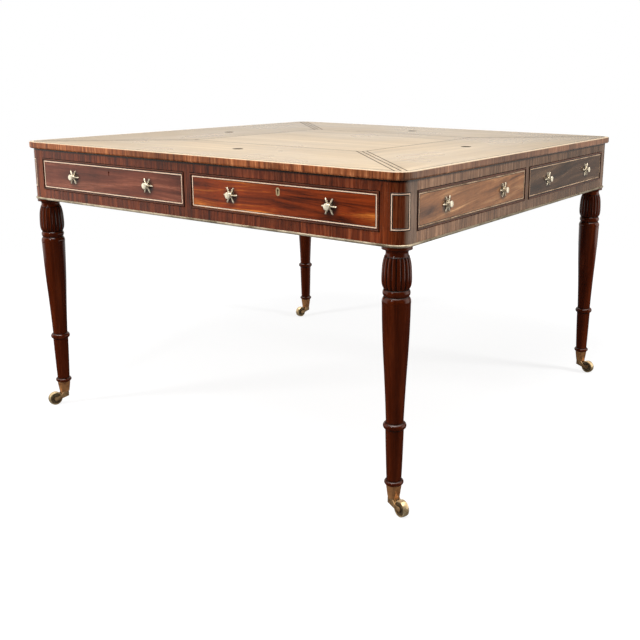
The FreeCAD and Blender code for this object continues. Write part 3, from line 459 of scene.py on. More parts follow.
def new_object(name, data):
    made = bpy.data.objects.new(name, data)
    bpy.context.scene.collection.objects.link(made)
    return made


def grown(name, tree, base, values):
    """The plain mesh that a tree of geometry nodes makes from a base mesh, on an object of its own."""
    piece = new_object(name, base)
    modifier = piece.modifiers.new(name, "NODES")
    modifier.node_group = tree
    for socket in tree.interface.items_tree:
        if socket.in_out == "INPUT" and socket.name in values:
            modifier[socket.identifier] = values[socket.name]
    plain = bpy.data.meshes.new_from_object(piece.evaluated_get(bpy.context.evaluated_depsgraph_get()))
    piece.modifiers.remove(modifier)
    piece.data = plain
    return piece


LAID_LINE = laid_line_tree()
ebony = ebony_wood("ebony", Specular_IOR_Level=0.4, Coat_Weight=0.1, Coat_Roughness=0.25)


def laid_lines(name, runs, width):
    """Slips laid along runs of points, each point with the direction that the face looks in there."""
    mesh = bpy.data.meshes.new(f"{name}_paths")
    edges, first = [], 0
    for run in runs:
        edges += [(first + i, first + i + 1) for i in range(len(run) - 1)]
        first += len(run)
    mesh.from_pydata([point for run in runs for point, _ in run], edges, [])
    normals = mesh.attributes.new("face_normal", "FLOAT_VECTOR", "POINT")
    normals.data.foreach_set("vector", [value for run in runs for _, normal in run for value in normal])
    return grown(name, LAID_LINE, mesh, {"Width": width, "Thickness": LINE_THICKNESS, "Material": ebony})


def face_point(face, along, level):
    direction, outward = FACES[face]
    return outward * FRIEZE_FACE + direction * along + UP * level


def drawer_middle(face, side):
    return side * OPENING_CENTRE * FACES[face][0].x


def beside_string(width):
    """How far the middles of the outer and the inner line lie outside the edge of a brass string."""
    return width / 2 - LINE_LAP, LINE_LAP - STRING_WIDTH - width / 2


def string_lines(face, middle):
    """The runs of the two ebony lines beside a brass string on a flat face."""
    outward = FACES[face][1]
    butt = LINE_WIDTH / 2
    runs = []
    for growth in beside_string(LINE_WIDTH):
        half, rise = STRING_HALF + growth, STRING_RISE + growth
        ends = [((-half - butt, rise), (half + butt, rise)), ((-half - butt, -rise), (half + butt, -rise)),
                ((-half, butt - rise), (-half, rise - butt)), ((half, butt - rise), (half, rise - butt))]
        runs += [[(face_point(face, middle + u, STRING_LEVEL + v), outward) for u, v in run] for run in ends]
    return runs


def corner_lines(across, along):
    """The runs of the two ebony lines beside a brass string on a rounded corner."""
    middle = math.atan2(along, across)
    axis = Vector((across * LEG_AXIS, along * LEG_AXIS, 0))
    butt = CORNER_LINE_WIDTH / 2

    def spot(turn, level):
        outward = Vector((math.cos(middle + turn), math.sin(middle + turn), 0))
        return axis + outward * CORNER_RADIUS + UP * level, outward

    runs = []
    for growth in beside_string(CORNER_LINE_WIDTH):
        swing = CORNER_HALF_ANGLE + growth / CORNER_RADIUS
        reach = swing + butt / CORNER_RADIUS
        low, high = corner_low.z - growth, corner_high.z + growth
        turns = [reach * (2 * step / ARC_STEPS - 1) for step in range(ARC_STEPS + 1)]
        runs += [[spot(turn, level) for turn in turns] for level in (low, high)]
        runs += [[spot(turn, low + butt), spot(turn, high - butt)] for turn in (-swing, swing)]
    return runs


for drawer, (side, face) in DRAWERS.items():
    lines = laid_lines(f"{drawer}_ebony_lines", string_lines(face, drawer_middle(face, side)), LINE_WIDTH)
    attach(lines, f"{drawer}_drawer")
DUMMIES = [(face, side * OPENING_CENTRE) for face in ("left", "right") for side in (-1, 1)]
dummy_runs = [run for dummy in DUMMIES for run in string_lines(*dummy)]
corner_runs = [run for signs in CORNERS.values() for run in corner_lines(*signs)]
for lines in (laid_lines("dummy_ebony_lines", dummy_runs, LINE_WIDTH),
              laid_lines("corner_ebony_lines", corner_runs, CORNER_LINE_WIDTH)):
    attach(lines, "table")


# The brass strings and moulding
# Flat strings of brass let into the fronts and corners, and a half round moulding pinned along the
# lower edge of the frieze. All are old brass, rubbed bright in places and dulled to brown in others. On
# the left and right faces the strings and the moulding are painted darker as shade.
def aged_brass_group():
    """Brass between rubbed and dull, in soft patches with small dark specks."""
    group, given, result = new_group(
        "aged_brass", {"Vector": "Vector", "Patch Scale": "Float", "Dullness": "Float", "Bright": "Color",
                       "Dull": "Color"},
        {"Color": "Color", "Dull Share": "Float", "Height": "Float"})
    patches = given["Vector"].noise(given["Patch Scale"], 5.0, 0.65)
    limit = 0.85 - given["Dullness"] * 0.6
    specks = given["Vector"].noise(given["Patch Scale"] * 9.0).ramp(0.66, 0.76, 0.0, 0.5)
    share = number("ADD", patches.ramp(limit - 0.2, limit + 0.15), specks, use_clamp=True)
    share.blend(given["Bright"], given["Dull"]).to(result["Color"])
    share.to(result["Dull Share"])
    (patches * 0.6).to(result["Height"])
    return group


AGED_BRASS = aged_brass_group()
# The colour and share of the painted shade on the side moulding
SIDE_SHADE = paint(88, 78, 58)
SIDE_SHADE_SHARE = 0.6


def aged_brass(place, bright, dull, dullness, patch_scale):
    return use_group(place.tree, AGED_BRASS, {
        "Vector": place, "Patch Scale": patch_scale, "Dullness": dullness, "Bright": bright, "Dull": dull})


def brass(name, bright, dull, dullness, patch_scale, gloss, metal, painted_shade=None):
    """Aged brass, and where there is painted shade, its colour over a share of the brass at each place."""
    material, place, sockets = new_material(name, Metallic=metal)
    coat = aged_brass(place, bright, dull, dullness, patch_scale)
    colour = coat["Color"]
    if painted_shade:
        share, shade_colour = painted_shade(place)
        colour = share.blend(colour, shade_colour)
    colour.to(sockets["Base Color"])
    coat["Dull Share"].ramp(0.0, 1.0, *gloss).to(sockets["Roughness"])
    bump(sockets, coat["Height"], strength=0.15, distance=0.0004)
    return material


def side_shade(place):
    """Painted shade: the moulding on the left and right faces is darkened and dulled."""
    return on_side_faces(place, low=-0.02, high=0.12) * SIDE_SHADE_SHARE, SIDE_SHADE


string_brass = brass("string_brass", paint(255, 221, 192), paint(224, 174, 140), dullness=0.28,
                     patch_scale=26.0, gloss=(0.4, 0.6), metal=0.12)
# Painted shade: the strings on the left and right faces are darker and duller than on the front and back
shaded_side_string_brass = brass("shaded_side_string_brass", paint(220, 188, 156), paint(146, 118, 92), dullness=0.45,
                          patch_scale=26.0, gloss=(0.45, 0.65), metal=0.5)
moulding_brass = brass("moulding_brass", paint(226, 210, 182), paint(116, 102, 80), dullness=0.5,
                       patch_scale=14.0, gloss=(0.3, 0.55), metal=0.6, painted_shade=side_shade)
dress(string_brass, "corner_brass_strings", *(f"{drawer}_drawer_string" for drawer in DRAWERS))
dress(shaded_side_string_brass, "dummy_brass_strings")
dress(moulding_brass, "frieze_brass_moulding")


# The star knobs
# Two to each drawer front, real or dummy: a cast star of six rounded rays flat on the veneer, and over
# it a turned button on a stem. A threaded shank goes through the front to a nut inside the drawer.
RAY_COUNT = 6
RAY_STATIONS = ((0.0028, 0.0014, 0.0040), (0.0060, 0.0015, 0.0036), (0.0100, 0.0018, 0.0031),
                (0.0145, 0.0020, 0.0027), (0.0178, 0.0019, 0.0023), (0.0195, 0.0014, 0.0017),
                (0.0203, 0.0008, 0.0010))
RAY_SIDES = 8
CENTRE_PROFILE = ((0.0, -0.0198), (0.0025, -0.0198), (0.0025, 0.0), (0.0058, 0.0), (0.0057, 0.0026),
                  (0.0046, 0.0041), (0.0036, 0.0046), (0.0035, 0.0066), (0.0040, 0.0080), (0.0060, 0.0091),
                  (0.0073, 0.0097), (0.0078, 0.0104), (0.0078, 0.0109), (0.0075, 0.0114), (0.0068, 0.0117),
                  (0.0045, 0.0121), (0.0, 0.0122))
CENTRE_SEGMENTS = 32
NUT_PROFILE = ((0.0, -0.0229), (0.0048, -0.0229), (0.0054, -0.0225), (0.0055, -0.0204), (0.0050, -0.0200),
               (0.0, -0.0200))
NUT_SEGMENTS = 6
SHARP_ANGLE = math.radians(38)
# Painted shade on the star behind the button
STAR_SHADE = paint(188, 150, 100)
BUTTON_BACK, BUTTON_FRONT = 0.0035, 0.008


def kept_sharp(name, shape):
    """A mesh from a finished shape, smooth except at its sharp edges."""
    bmesh.ops.recalc_face_normals(shape, faces=shape.faces)
    mesh = bpy.data.meshes.new(name)
    shape.to_mesh(mesh)
    shape.free()
    mesh.shade_smooth()
    mesh.set_sharp_from_angle(angle=SHARP_ANGLE)
    return mesh


def turned_mesh(name, profile, segments):
    """A shape turned about Z, closed on its axis at both ends."""
    shape = bmesh.new()
    rings = []
    for radius, height in profile:
        angles = [2 * math.pi * i / segments for i in range(segments)] if radius else [0.0]
        rings.append([shape.verts.new((radius * math.cos(a), radius * math.sin(a), height)) for a in angles])
    for low, high in zip(rings, rings[1:]):
        for i in range(segments):
            after = (i + 1) % segments
            corners = [low[i % len(low)], low[after % len(low)], high[after % len(high)], high[i % len(high)]]
            shape.faces.new(dict.fromkeys(corners))
    return kept_sharp(name, shape)


def lofted_mesh(name, sections):
    """A closed shape through rings of points that have the same number of points."""
    shape = bmesh.new()
    rings = [[shape.verts.new(point) for point in section] for section in sections]
    for low, high in zip(rings, rings[1:]):
        for i in range(len(low)):
            after = (i + 1) % len(low)
            shape.faces.new((low[i], low[after], high[after], high[i]))
    shape.faces.new(rings[0])
    shape.faces.new(rings[-1])
    return kept_sharp(name, shape)


def lent(tree, pattern):
    return wire(tree, "GeometryNodeObjectInfo", "Geometry", {"Object": pattern})


def turn_about_z(tree, angle):
    return wire(tree, "ShaderNodeCombineXYZ", "Vector", {"Z": angle})


def ring_of_rays_tree():
    """A base shape with a number of rays set evenly round its Z axis, and a nut where there is one."""
    tree, given, result = new_tree("ring_of_rays", {"Ray": "Object", "Count": "Int", "Nut": "Object",
                                                    "With Nut": "Bool"})
    points = wire(tree, "GeometryNodePoints", 0, {"Count": given["Count"]})
    turn = wire(tree, "GeometryNodeInputIndex", 0) * (2 * math.pi / given["Count"])
    rays = wire(tree, "GeometryNodeInstanceOnPoints", "Instances", {
        "Points": points, "Instance": lent(tree, given["Ray"]), "Rotation": turn_about_z(tree, turn)})
    nut = wire(tree, "GeometryNodeSwitch", 0, {"Switch": given["With Nut"], "True": lent(tree, given["Nut"])},
               input_type="GEOMETRY")
    joined = tree.nodes.new("GeometryNodeJoinGeometry")
    for part in (given["Geometry"], rays, nut):
        part.to(joined.inputs["Geometry"])
    end_tree(tree, Wire(joined.outputs["Geometry"]), given, result)
    return tree


def set_at_places_tree():
    """A piece set at each point: its Z along the point's outward, its X along the point's along, and turned
    by chance about its own Z up to Spin."""
    tree, given, result = new_tree("set_at_places", {"Piece": "Object", "Spin": "Float", "Seed": "Int"})
    upright = wire(tree, "FunctionNodeAlignRotationToVector", "Rotation", {
        "Vector": point_vector(tree, "outward")}, axis="Z")
    faced = wire(tree, "FunctionNodeAlignRotationToVector", "Rotation", {
        "Rotation": upright, "Vector": point_vector(tree, "along")}, axis="X", pivot_axis="Z")
    chance = add(tree, "FunctionNodeRandomValue", {"Seed": given["Seed"]}, data_type="FLOAT")
    given["Spin"].to(next(item for item in chance.inputs if item.identifier == "Max_001"))
    turn = Wire(next(item for item in chance.outputs if item.identifier == "Value_001"))
    spin = wire(tree, "FunctionNodeEulerToRotation", "Rotation", {"Euler": turn_about_z(tree, turn)})
    spun = wire(tree, "FunctionNodeRotateRotation", "Rotation", {"Rotation": faced, "Rotate By": spin},
                rotation_space="LOCAL")
    pieces = wire(tree, "GeometryNodeInstanceOnPoints", "Instances", {
        "Points": given["Geometry"], "Instance": lent(tree, given["Piece"]), "Rotation": spun})
    end_tree(tree, pieces, given, result)
    return tree


RING_OF_RAYS = ring_of_rays_tree()
SET_AT_PLACES = set_at_places_tree()


def set_pieces(name, pattern, places, material, spin=0.0, seed=0):
    """A piece at each place: a point with the two directions that the piece is turned to."""
    mesh = bpy.data.meshes.new(f"{name}_places")
    mesh.from_pydata([point for point, _, _ in places], [], [])
    for index, attribute in ((1, "outward"), (2, "along")):
        data = mesh.attributes.new(attribute, "FLOAT_VECTOR", "POINT").data
        data.foreach_set("vector", [value for place in places for value in place[index]])
    return grown(name, SET_AT_PLACES, mesh, {
        "Piece": pattern, "Spin": spin, "Seed": seed, "Material": material})


def behind_button(place):
    """Painted shade: the star behind the bright button is a little browner."""
    stands = number("MAXIMUM", abs(place.axis("X")), abs(place.axis("Y"))) - FRIEZE_FACE
    return stands.ramp(BUTTON_BACK, BUTTON_FRONT, 0.15, 0.0), STAR_SHADE


def ray_section(reach, half, height):
    """A section of a ray of the star, which lies along X: flat below and round above."""
    angles = [math.pi * i / RAY_SIDES for i in range(RAY_SIDES + 1)]
    return [(reach, half * math.cos(a), height * math.sin(a)) for a in angles]


knob_brass = brass("knob_brass", paint(255, 244, 218), paint(214, 180, 132), dullness=0.26, patch_scale=70.0,
                   gloss=(0.26, 0.46), metal=0.45, painted_shade=behind_button)
# Patterns only lend their meshes to the trees, and are removed after the drawer boxes
ray_pattern = new_object("ray_pattern", lofted_mesh("knob_ray", [ray_section(*s) for s in RAY_STATIONS]))
nut_pattern = new_object("nut_pattern", turned_mesh("knob_nut", NUT_PROFILE, NUT_SEGMENTS))
drawer_knob, dummy_knob = (
    grown(f"{name}_pattern", RING_OF_RAYS, turned_mesh(f"{name}_centre", CENTRE_PROFILE, CENTRE_SEGMENTS),
          {"Ray": ray_pattern, "Count": RAY_COUNT, "Nut": nut_pattern, "With Nut": with_nut,
           "Material": knob_brass})
    for name, with_nut in (("drawer_knob", True), ("dummy_knob", False)))


def knob_places(face, middle):
    direction, outward = FACES[face]
    return [(face_point(face, middle + side * KNOB_SPREAD / 2, KNOB_LEVEL), outward, direction)
            for side in (-1, 1)]


for drawer, (side, face) in DRAWERS.items():
    places = knob_places(face, drawer_middle(face, side))
    knobs = set_pieces(f"{drawer}_star_knobs", drawer_knob, places, knob_brass)
    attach(knobs, f"{drawer}_drawer")
    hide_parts(f"{drawer}_drawer_knobs")
places = [place for dummy in DUMMIES for place in knob_places(*dummy)]
knobs = set_pieces("dummy_star_knobs", dummy_knob, places, knob_brass)
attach(knobs, "table")
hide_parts("dummy_knobs")


# The drawer locks
# A brass lock case let into the back of each front, with a steel bolt that the key throws up into the
# rail, held by four slotted screws. One of the keyholes has lost its oval plate.
SCREW_PROFILE = ((0.0, -0.0008), (0.0031, -0.0008), (0.0032, 0.0002), (0.0026, 0.0005), (0.0, 0.0007))
SCREW_SEGMENTS = 24
SCREW_SLOT = 0.0007
SCREW_INSET = 0.0055
LOCK_HEIGHT = 0.038
LOCK_WIDTH = 0.052
FRONT_THICKNESS = 0.02


def slotted_screw_mesh():
    """The head of a wood screw, with a slot across it."""
    shape = bmesh.new()
    shape.from_mesh(turned_mesh("screw_head", SCREW_PROFILE, SCREW_SEGMENTS))
    for side in (-1, 1):
        ring = shape.verts[:] + shape.edges[:] + shape.faces[:]
        bmesh.ops.bisect_plane(shape, geom=ring, plane_co=(0, side * SCREW_SLOT / 2, 0), plane_no=(0, 1, 0))
    slot = [face for face in shape.faces
            if abs(face.calc_center_median().y) < SCREW_SLOT / 2 and face.normal.z > 0.5]
    walls = bmesh.ops.extrude_face_region(shape, geom=slot)["geom"]
    sunk = [item for item in walls if isinstance(item, bmesh.types.BMVert)]
    bmesh.ops.translate(shape, verts=sunk, vec=(0, 0, -SCREW_SLOT))
    bmesh.ops.delete(shape, geom=slot, context="FACES")
    return kept_sharp("slotted_screw", shape)


def dull_steel():
    material, place, sockets = new_material("dull_steel", Metallic=1.0)
    marks = place.noise(300.0, 3.0)
    marks.blend(paint(120, 116, 110), paint(160, 156, 150)).to(sockets["Base Color"])
    marks.ramp(0.3, 0.7, 0.35, 0.55).to(sockets["Roughness"])
    return material


steel = dull_steel()
dress(steel, "top_screws", *(f"{drawer}_drawer_bolt" for drawer in DRAWERS))
dress(brass("lock_brass", paint(240, 218, 172), paint(168, 130, 80), dullness=0.4, patch_scale=60.0,
            gloss=(0.28, 0.5), metal=0.8), *(f"{drawer}_drawer_lock" for drawer in DRAWERS))
screw_pattern = new_object("screw_pattern", slotted_screw_mesh())
for seed, (drawer, (side, face)) in enumerate(DRAWERS.items()):
    inward = -FACES[face][1]
    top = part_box(f"{drawer}_drawer_lock")[1].z
    places = []
    for across in (-1, 1):
        for level in (top - SCREW_INSET, top - LOCK_HEIGHT + SCREW_INSET):
            spot = face_point(face, 0, level) + inward * FRONT_THICKNESS
            spot.x = side * OPENING_CENTRE + across * (LOCK_WIDTH / 2 - SCREW_INSET)
            places.append((spot, inward, UP))
    screws = set_pieces(f"{drawer}_lock_screws", screw_pattern, places, steel, spin=math.pi, seed=seed)
    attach(screws, f"{drawer}_drawer")


# The drawer boxes
# Oak sides, back and bottom, planed and left bare. The sides meet the front in lapped dovetails, whose
# oak tails show in the mahogany at each end of the front once the drawer is out.
TAIL_COUNT = 4
TAIL_LENGTH = 0.0105
TAIL_NECK, TAIL_END = 0.0062, 0.0092
TAIL_PROUD = 0.00012
TAIL = ((0, -TAIL_NECK), (TAIL_LENGTH, -TAIL_END), (TAIL_LENGTH, TAIL_END), (0, TAIL_NECK))
dress(oak_along, *(f"{drawer}_drawer_box" for drawer in DRAWERS))
tail_mesh = lofted_mesh("dovetail", [[(x, y, z) for x, y in TAIL] for z in (-TAIL_PROUD, TAIL_PROUD)])
tail_pattern = new_object("tail_pattern", tail_mesh)
for drawer, (side, face) in DRAWERS.items():
    outward = FACES[face][1]
    places = []
    for across in (-1, 1):
        for tail in range(TAIL_COUNT):
            spot = outward * (FRIEZE_FACE - FRONT_THICKNESS)
            spot.x = side * OPENING_CENTRE + across * FRONT_HALF
            spot.z = FRONT_LEVEL + FRONT_RISE * (2 * (tail + 0.5) / TAIL_COUNT - 1)
            places.append((spot, Vector((across, 0, 0)), outward))
    tails = set_pieces(f"{drawer}_dovetails", tail_pattern, places, oak_along)
    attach(tails, f"{drawer}_drawer")
for pattern in (ray_pattern, nut_pattern, drawer_knob, dummy_knob, screw_pattern, tail_pattern):
    bpy.data.objects.remove(pattern)


# The legs
# Turned from solid mahogany, stained darker than the frieze and polished: a reeded bulb under the
# post, a bead, a long swelling taper, a ring and an ankle that stands in the castor's cup. The hollows
# and the quirks between the reeds are painted near black as shade.
LEG = (paint(56, 15, 1), paint(72, 23, 3), paint(90, 34, 7))
HOLLOW_LEVELS = (0.598, 0.582, 0.5115, 0.4962, 0.2132, 0.1982, 0.0776)
HOLLOW_CORE, HOLLOW_EDGE = 0.0002, 0.0022
# Painted shade in the grooves of the turning and between the reeds
HOLLOW_SHADE = paint(17, 6, 3)
REED_TOP, REED_BOTTOM = 0.581, 0.5135
REED_COUNT = 18


def leg_mahogany():
    material, place, sockets = new_material("leg_mahogany", Specular_IOR_Level=0.25, Coat_Weight=0.2,
                                            Coat_Roughness=0.08)
    wood = figure(place, "Z", LEG, streak_width=0.012, mottle=0.12, pores=0.4)
    level = place.axis("Z")
    nearest = 1.0
    for hollow_level in HOLLOW_LEVELS:
        nearest = number("MINIMUM", abs(level - hollow_level), nearest)
    across, along = (abs(place.axis(axis)) - LEG_AXIS for axis in "XY")
    turn = number("ARCTAN2", along, across) * REED_COUNT
    on_bulb = number("GREATER_THAN", level, REED_BOTTOM) * number("LESS_THAN", level, REED_TOP)
    # Painted shade: near black between the reeds on the bulb and in the grooves
    hollow = number("MAXIMUM", number("COSINE", turn).ramp(0.55, 1.0) * on_bulb,
                    nearest.ramp(HOLLOW_CORE, HOLLOW_EDGE, 0.8, 0.0))
    hollow.blend(wood["Color"], HOLLOW_SHADE).to(sockets["Base Color"])
    (wood["Streak"].ramp(0.3, 0.7, 0.14, 0.22) + hollow * 0.3).to(sockets["Roughness"])
    bump(sockets, wood["Height"], strength=0.1)
    return material


dress(leg_mahogany(), *(f"{corner}_leg" for corner in CORNERS))


# The castors
# Turned brass cups on the feet, each with a forged horn that swivels under it and a brass wheel on an
# axle. The cups have gone coppery; inside their bright rims the wheels are painted dark as shade, darkest
# round the axle.
RIM_INSIDE, RIM_OUTSIDE = 0.0151, 0.0161
# Painted shade in the sunk face of each wheel, darkest round the axle
HUB_SHADE, FACE_SHADE = 0.0052, 0.0085
WHEEL_SHADE = paint(44, 27, 14)


def wheel_brass(name, centre, trail):
    """Bright brass at the rim; inside it, painted shade darkens the sunk face and turns black round the axle.
    """
    material, place, sockets = new_material(name, Metallic=0.65)
    coat = aged_brass(place, paint(232, 206, 160), paint(150, 108, 62), dullness=0.35, patch_scale=80.0)
    offset = place.vector("SUBTRACT", centre)
    reach = distance(offset.vector("DOT_PRODUCT", trail, "Value"), offset.axis("Z"))
    # Painted shade inside the rim, darkest round the axle
    shade = reach.ramp(RIM_INSIDE, RIM_OUTSIDE, 1.0, 0.0) * reach.ramp(HUB_SHADE, FACE_SHADE, 1.0, 0.8)
    shade.blend(coat["Color"], WHEEL_SHADE).to(sockets["Base Color"])
    (coat["Dull Share"] + shade).ramp(0.0, 1.2, 0.24, 0.6).to(sockets["Roughness"])
    bump(sockets, coat["Height"], strength=0.15)
    return material


dress(brass("cup_brass", paint(200, 142, 92), paint(132, 82, 46), dullness=0.45, patch_scale=55.0,
            gloss=(0.3, 0.5), metal=0.5), "castor_cups")
dress(brass("horn_brass", paint(206, 166, 118), paint(100, 66, 40), dullness=0.5, patch_scale=70.0,
            gloss=(0.3, 0.5), metal=0.6), *(f"{corner}_castor_horn" for corner in CORNERS))
for corner, (across, along) in CORNERS.items():
    low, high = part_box(f"{corner}_castor_wheel")
    centre = (low + high) / 2
    trail = Vector((centre.x - across * LEG_AXIS, centre.y - along * LEG_AXIS, 0)).normalized()
    dress(wheel_brass(f"{corner}_wheel_brass", centre, trail), f"{corner}_castor_wheel")


# The top
# A core veneered in five panels of faded mahogany between ebony lines, with four ebony roundels, and a
# crossbanded lipping round the edge. Two hundred years of sun have bleached the upper face to honey,
# with dirt left beside the lines. A pool of light is painted on the upper face, brightest near the front;
# the lipping has a highlight painted along its upper arris and a paler look painted on its sides.
TOP = (paint(150, 125, 90), paint(179, 153, 116), paint(199, 174, 138))
DIRT = paint(78, 56, 38)
LIPPING = (paint(84, 34, 12), paint(142, 78, 40), paint(204, 134, 86))
# Painted light: a paler, greyer palette for the lipping on the left and right faces
SIDE_LIT_LIPPING = (paint(78, 46, 30), paint(126, 86, 62), paint(178, 134, 104))
# Painted highlight along the upper arris of the lipping
ARRIS_HIGHLIGHT = paint(216, 192, 158)
# The centre of a pool of light painted on the top
LIGHT_POOL_CENTRE = (0.25, -0.5, 0.762)
LEFT_SHADE = 0.6
CENTRE_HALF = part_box("top_centre_veneer")[1].x
MITRE_SPACING = 0.013
MITRE_DIRT_CORE, MITRE_DIRT_EDGE = 0.0008, 0.0026
CENTRE_DIRT_CORE, CENTRE_DIRT_EDGE = 0.001, 0.0055
TOP_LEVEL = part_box("top_edge_lipping")[1].z
HIGHLIGHT_START, HIGHLIGHT_FULL = TOP_LEVEL - 0.0014, TOP_LEVEL - 0.0005


def beside_x(place):
    """Whether a spot lies nearer to the left or right edge than to the front or back."""
    return number("GREATER_THAN", abs(place.axis("X")), abs(place.axis("Y")))


def line_dirt(place):
    """Old polish and dirt, gathered beside the lines round the centre and along the mitres."""
    x, y = abs(place.axis("X")), abs(place.axis("Y"))
    reach = number("MAXIMUM", x, y)
    from_mitre = abs((x - y) * math.sqrt(0.5))
    from_line = number("MINIMUM", from_mitre, abs(from_mitre - MITRE_SPACING))
    on_mitre = from_line.ramp(MITRE_DIRT_CORE, MITRE_DIRT_EDGE, 0.45, 0.0)
    round_centre = abs(reach - CENTRE_HALF).ramp(CENTRE_DIRT_CORE, CENTRE_DIRT_EDGE, 0.6, 0.0)
    return number("MAXIMUM", on_mitre * number("GREATER_THAN", reach, CENTRE_HALF), round_centre)


def faded_veneer(name, mitred):
    """Bleached, glossy veneer; on the mitred borders the grain follows the nearest edge."""
    material, place, sockets = new_material(name, Specular_IOR_Level=0.5, Coat_Weight=0.15,
                                            Coat_Roughness=0.12)

    def grain(along):
        return figure(place, along, TOP, streak_width=0.05, mottle=0.12, pores=0.35)

    wood = grain("X")
    colour = wood["Color"]
    if mitred:
        on_side = beside_x(place)
        on_left = on_side * number("LESS_THAN", place.axis("X"), 0.0)
        colour = (on_left * LEFT_SHADE).blend(on_side.blend(colour, grain("Y")["Color"]), TOP[0])
    patches = place.noise(3.0, 3.0)
    # Painted light: the top is brightest near the front and darker away from it
    light_pool = place.vector("DISTANCE", LIGHT_POOL_CENTRE, "Value").ramp(0.3, 1.05, 1.0, 0.66)
    patched_and_lit = colour.toned(patches.ramp(0.3, 0.7, 0.94, 1.05) * light_pool)
    line_dirt(place).blend(patched_and_lit, DIRT).to(sockets["Base Color"])
    patches.ramp(0.3, 0.7, 0.25, 0.36).to(sockets["Roughness"])
    bump(sockets, wood["Height"], strength=0.12)
    return material


def lipping_crossbanding():
    """Upright pieces of veneer round the edge, with a highlight painted along the upper arris and a paler,
    greyer look painted on the left and right faces.
    """
    material, place, sockets = new_material("lipping_crossbanding", Specular_IOR_Level=0.38, Coat_Weight=0.2,
                                            Coat_Roughness=0.18)
    # A mix node takes its numbers at sockets 2 and 3 and gives one at 0
    along = wire(place.tree, "ShaderNodeMix", 0, {0: beside_x(place), 2: place.axis("X"), 3: place.axis("Y")})
    # Painted light: the lipping on the left and right faces takes the paler, greyer palette
    colours = blend_palettes(on_side_faces(place, low=-0.01, high=0.01), LIPPING, SIDE_LIT_LIPPING)
    wood = figure(place, "Z", colours, streak_width=0.006, mottle=0.3, pores=0.7, clouds=0.6)
    toned = wood["Color"].toned(veneer_pieces(along, length=0.06, contrast=0.5)["Tone"])
    # Painted highlight along the upper arris
    arris_highlight = place.axis("Z").ramp(HIGHLIGHT_START, HIGHLIGHT_FULL)
    colour_wood(sockets, wood, arris_highlight.blend(toned, ARRIS_HIGHLIGHT), shine=(0.3, 0.42))
    bump(sockets, wood["Height"], strength=0.2)
    return material


dress(faded_veneer("faded_border_veneer", mitred=True), "top_border_veneers")
dress(faded_veneer("faded_centre_veneer", mitred=False), "top_centre_veneer")
dress(ebony_wood("dull_ebony", Specular_IOR_Level=0.0), "top_ebony_inlay")
dress(lipping_crossbanding(), "top_edge_lipping", "top_board")


# The studio
# A pale floor that is white to the camera, keeps a soft shadow and can be seen through from below. Round
# it, in reflections alone, a white backdrop behind the table, a dark room behind the camera, a bright
# panel, a dark flag and a bright ceiling. Soft lamps light it, and a small one gives the glints.
FLOOR_RADIUS = 2.6
FLOOR_GREY = (0.45, 0.45, 0.45, 1.0)
FLOOR_GLOW = 1.12
SHADOW_SHARE = 0.3
SHADOW_REACH, SHADOW_END = 1.0, 1.7
AMBIENT = 0.34
WHITE = (1.0, 1.0, 1.0, 1.0)
WARM_WHITE = (1.0, 0.955, 0.89, 1.0)
DARK_SIDE = Vector((0.53, -0.848, 0.0))
FLAG_SIDE = Vector((0.1, 0.995, 0.0))
PANEL_SIDE = Vector((0.7, 0.714, 0.0))
DIM_SIDE = Vector((-0.966, 0.259, 0.0))


def mixed(tree, share, first, second):
    return wire(tree, "ShaderNodeMixShader", 0, {0: share, 1: first, 2: second})


def seen_in_gloss(ray):
    return number("MAXIMUM", ray["Is Glossy Ray"], ray["Is Transmission Ray"])


def floor_paper():
    """White to the camera with a share of real shadow, grey to the lamps, and darker in reflections towards
    the front."""
    material, place, _ = new_material("floor_paper", Roughness=0.9, Specular_IOR_Level=0.1,
                                      Base_Color=FLOOR_GREY)
    tree = place.tree
    ray = wires(add(tree, "ShaderNodeLightPath").outputs)
    shadowed = wire(tree, "ShaderNodeBsdfDiffuse", "BSDF", {"Color": WHITE})
    lit = wire(tree, "ShaderNodeEmission", "Emission", {"Color": WHITE, "Strength": FLOOR_GLOW})
    reach = place.vector("LENGTH", (0, 0, 0), "Value")
    near_share = reach.ramp(SHADOW_REACH, SHADOW_END, SHADOW_SHARE, 0.0)
    to_front = place.vector("DOT_PRODUCT", DARK_SIDE, "Value")
    mirrored = wire(tree, "ShaderNodeEmission", "Emission", {
        "Color": WHITE, "Strength": to_front.ramp(-1.6, -0.5, 0.8, 0.04)})
    plain = mixed(tree, seen_in_gloss(ray), Wire(tree.nodes["Principled BSDF"].outputs[0]), mirrored)
    from_above = mixed(tree, ray["Is Camera Ray"], plain, mixed(tree, near_share, lit, shadowed))
    from_below = wire(tree, "ShaderNodeBsdfTransparent", "BSDF")
    shown = mixed(tree, wire(tree, "ShaderNodeNewGeometry", "Backfacing"), from_above, from_below)
    shown.to(tree.nodes["Material Output"].inputs["Surface"])
    return material


floor_mesh = bpy.data.meshes.new("floor")
floor_shape = bmesh.new()
bmesh.ops.create_circle(floor_shape, cap_ends=True, segments=96, radius=FLOOR_RADIUS)
floor_shape.to_mesh(floor_mesh)
floor_shape.free()
floor_mesh.materials.append(floor_paper())
floor = new_object("floor", floor_mesh)


def studio_lamp(name, place, target, size, power, in_gloss=True):
    lamp = bpy.data.lights.new(name, "AREA")
    lamp.shape = "DISK"
    lamp.size = size
    lamp.energy = power
    holder = new_object(name, lamp)
    holder.location = place
    holder.rotation_mode = "QUATERNION"
    holder.rotation_quaternion = (Vector(target) - Vector(place)).to_track_quat("-Z", "Y")
    holder.visible_camera = False
    holder.visible_glossy = in_gloss


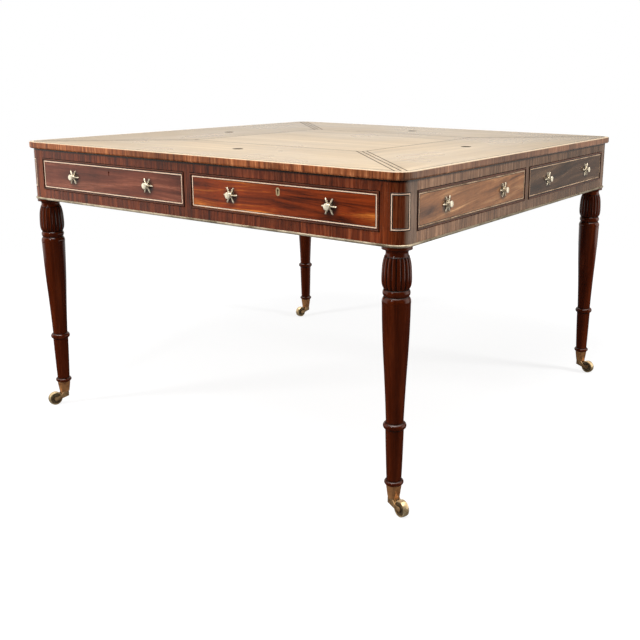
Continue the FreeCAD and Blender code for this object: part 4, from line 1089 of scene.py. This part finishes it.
studio_lamp("key", (-2.4, -2.9, 1.9), (0.0, 0.0, 0.5), size=0.9, power=96, in_gloss=False)
studio_lamp("side", (2.9, 1.3, 1.5), (0.4, 0.0, 0.5), size=0.8, power=56, in_gloss=False)
studio_lamp("over", (0.5, -1.1, 2.9), (0.2, -0.2, 0.4), size=1.8, power=42)
studio_lamp("glint", (0.2, -3.2, 2.4), (0.0, 0.0, 0.5), size=0.3, power=14)

world = bpy.data.worlds.new("studio")
bpy.context.scene.world = world
world.use_nodes = True
world.cycles.sampling_method = "NONE"
sky = world.node_tree
sky.nodes.clear()
ray = wires(add(sky, "ShaderNodeLightPath").outputs)
direction = wire(sky, "ShaderNodeTexCoord", "Generated")


def towards(side, start, full, level, elsewhere=1.0):
    """A level that the room takes towards one side, from where it starts to where it is full."""
    return direction.vector("DOT_PRODUCT", side, "Value").ramp(start, full, elsewhere, level)


room = towards(DARK_SIDE, start=0.08, full=0.42, level=0.03)
room = room * towards(FLAG_SIDE, start=0.82, full=0.97, level=0.22)
room = room * towards(PANEL_SIDE, start=0.72, full=0.94, level=1.6)
room = room * towards(DIM_SIDE, start=0.84, full=0.98, level=0.72)
room = room + towards(UP, start=0.72, full=0.9, level=4.5, elsewhere=0.0)
ambient = wire(sky, "ShaderNodeBackground", 0, {"Color": WHITE, "Strength": AMBIENT})
backdrop = wire(sky, "ShaderNodeBackground", 0, {
    "Color": ray["Is Camera Ray"].blend(WARM_WHITE, WHITE),
    "Strength": number("MAXIMUM", room, ray["Is Camera Ray"])})
shown = number("MAXIMUM", ray["Is Camera Ray"], seen_in_gloss(ray))
mixed(sky, shown, ambient, backdrop).to(add(sky, "ShaderNodeOutputWorld").inputs["Surface"])


# The camera
# Its place, turn and lens were fitted to the table's corners, edges and wheels in the photograph; the
# shift only frames the cut-out square as the photograph does.
SENSOR = 36.0
PICTURE_SIZE = 640
FOCAL_PIXELS = 870.8
PRINCIPAL_POINT = (372.8, 267.9)
CAMERA_PLACE = (1.5142, -2.0752, 0.9607)
PITCH, YAW, ROLL = 0.2243, 0.5883, 0.0078
lens = bpy.data.cameras.new("camera")
lens.sensor_width = SENSOR
lens.lens = FOCAL_PIXELS / PICTURE_SIZE * SENSOR
lens.shift_x = (PICTURE_SIZE / 2 - PRINCIPAL_POINT[0]) / PICTURE_SIZE
lens.shift_y = (PRINCIPAL_POINT[1] - PICTURE_SIZE / 2) / PICTURE_SIZE
camera = new_object("camera", lens)
camera.matrix_world = (Matrix.Translation(CAMERA_PLACE) @ Matrix.Rotation(YAW, 4, "Z")
                       @ Matrix.Rotation(math.pi / 2 - PITCH, 4, "X") @ Matrix.Rotation(ROLL, 4, "Z"))
bpy.context.scene.camera = camera
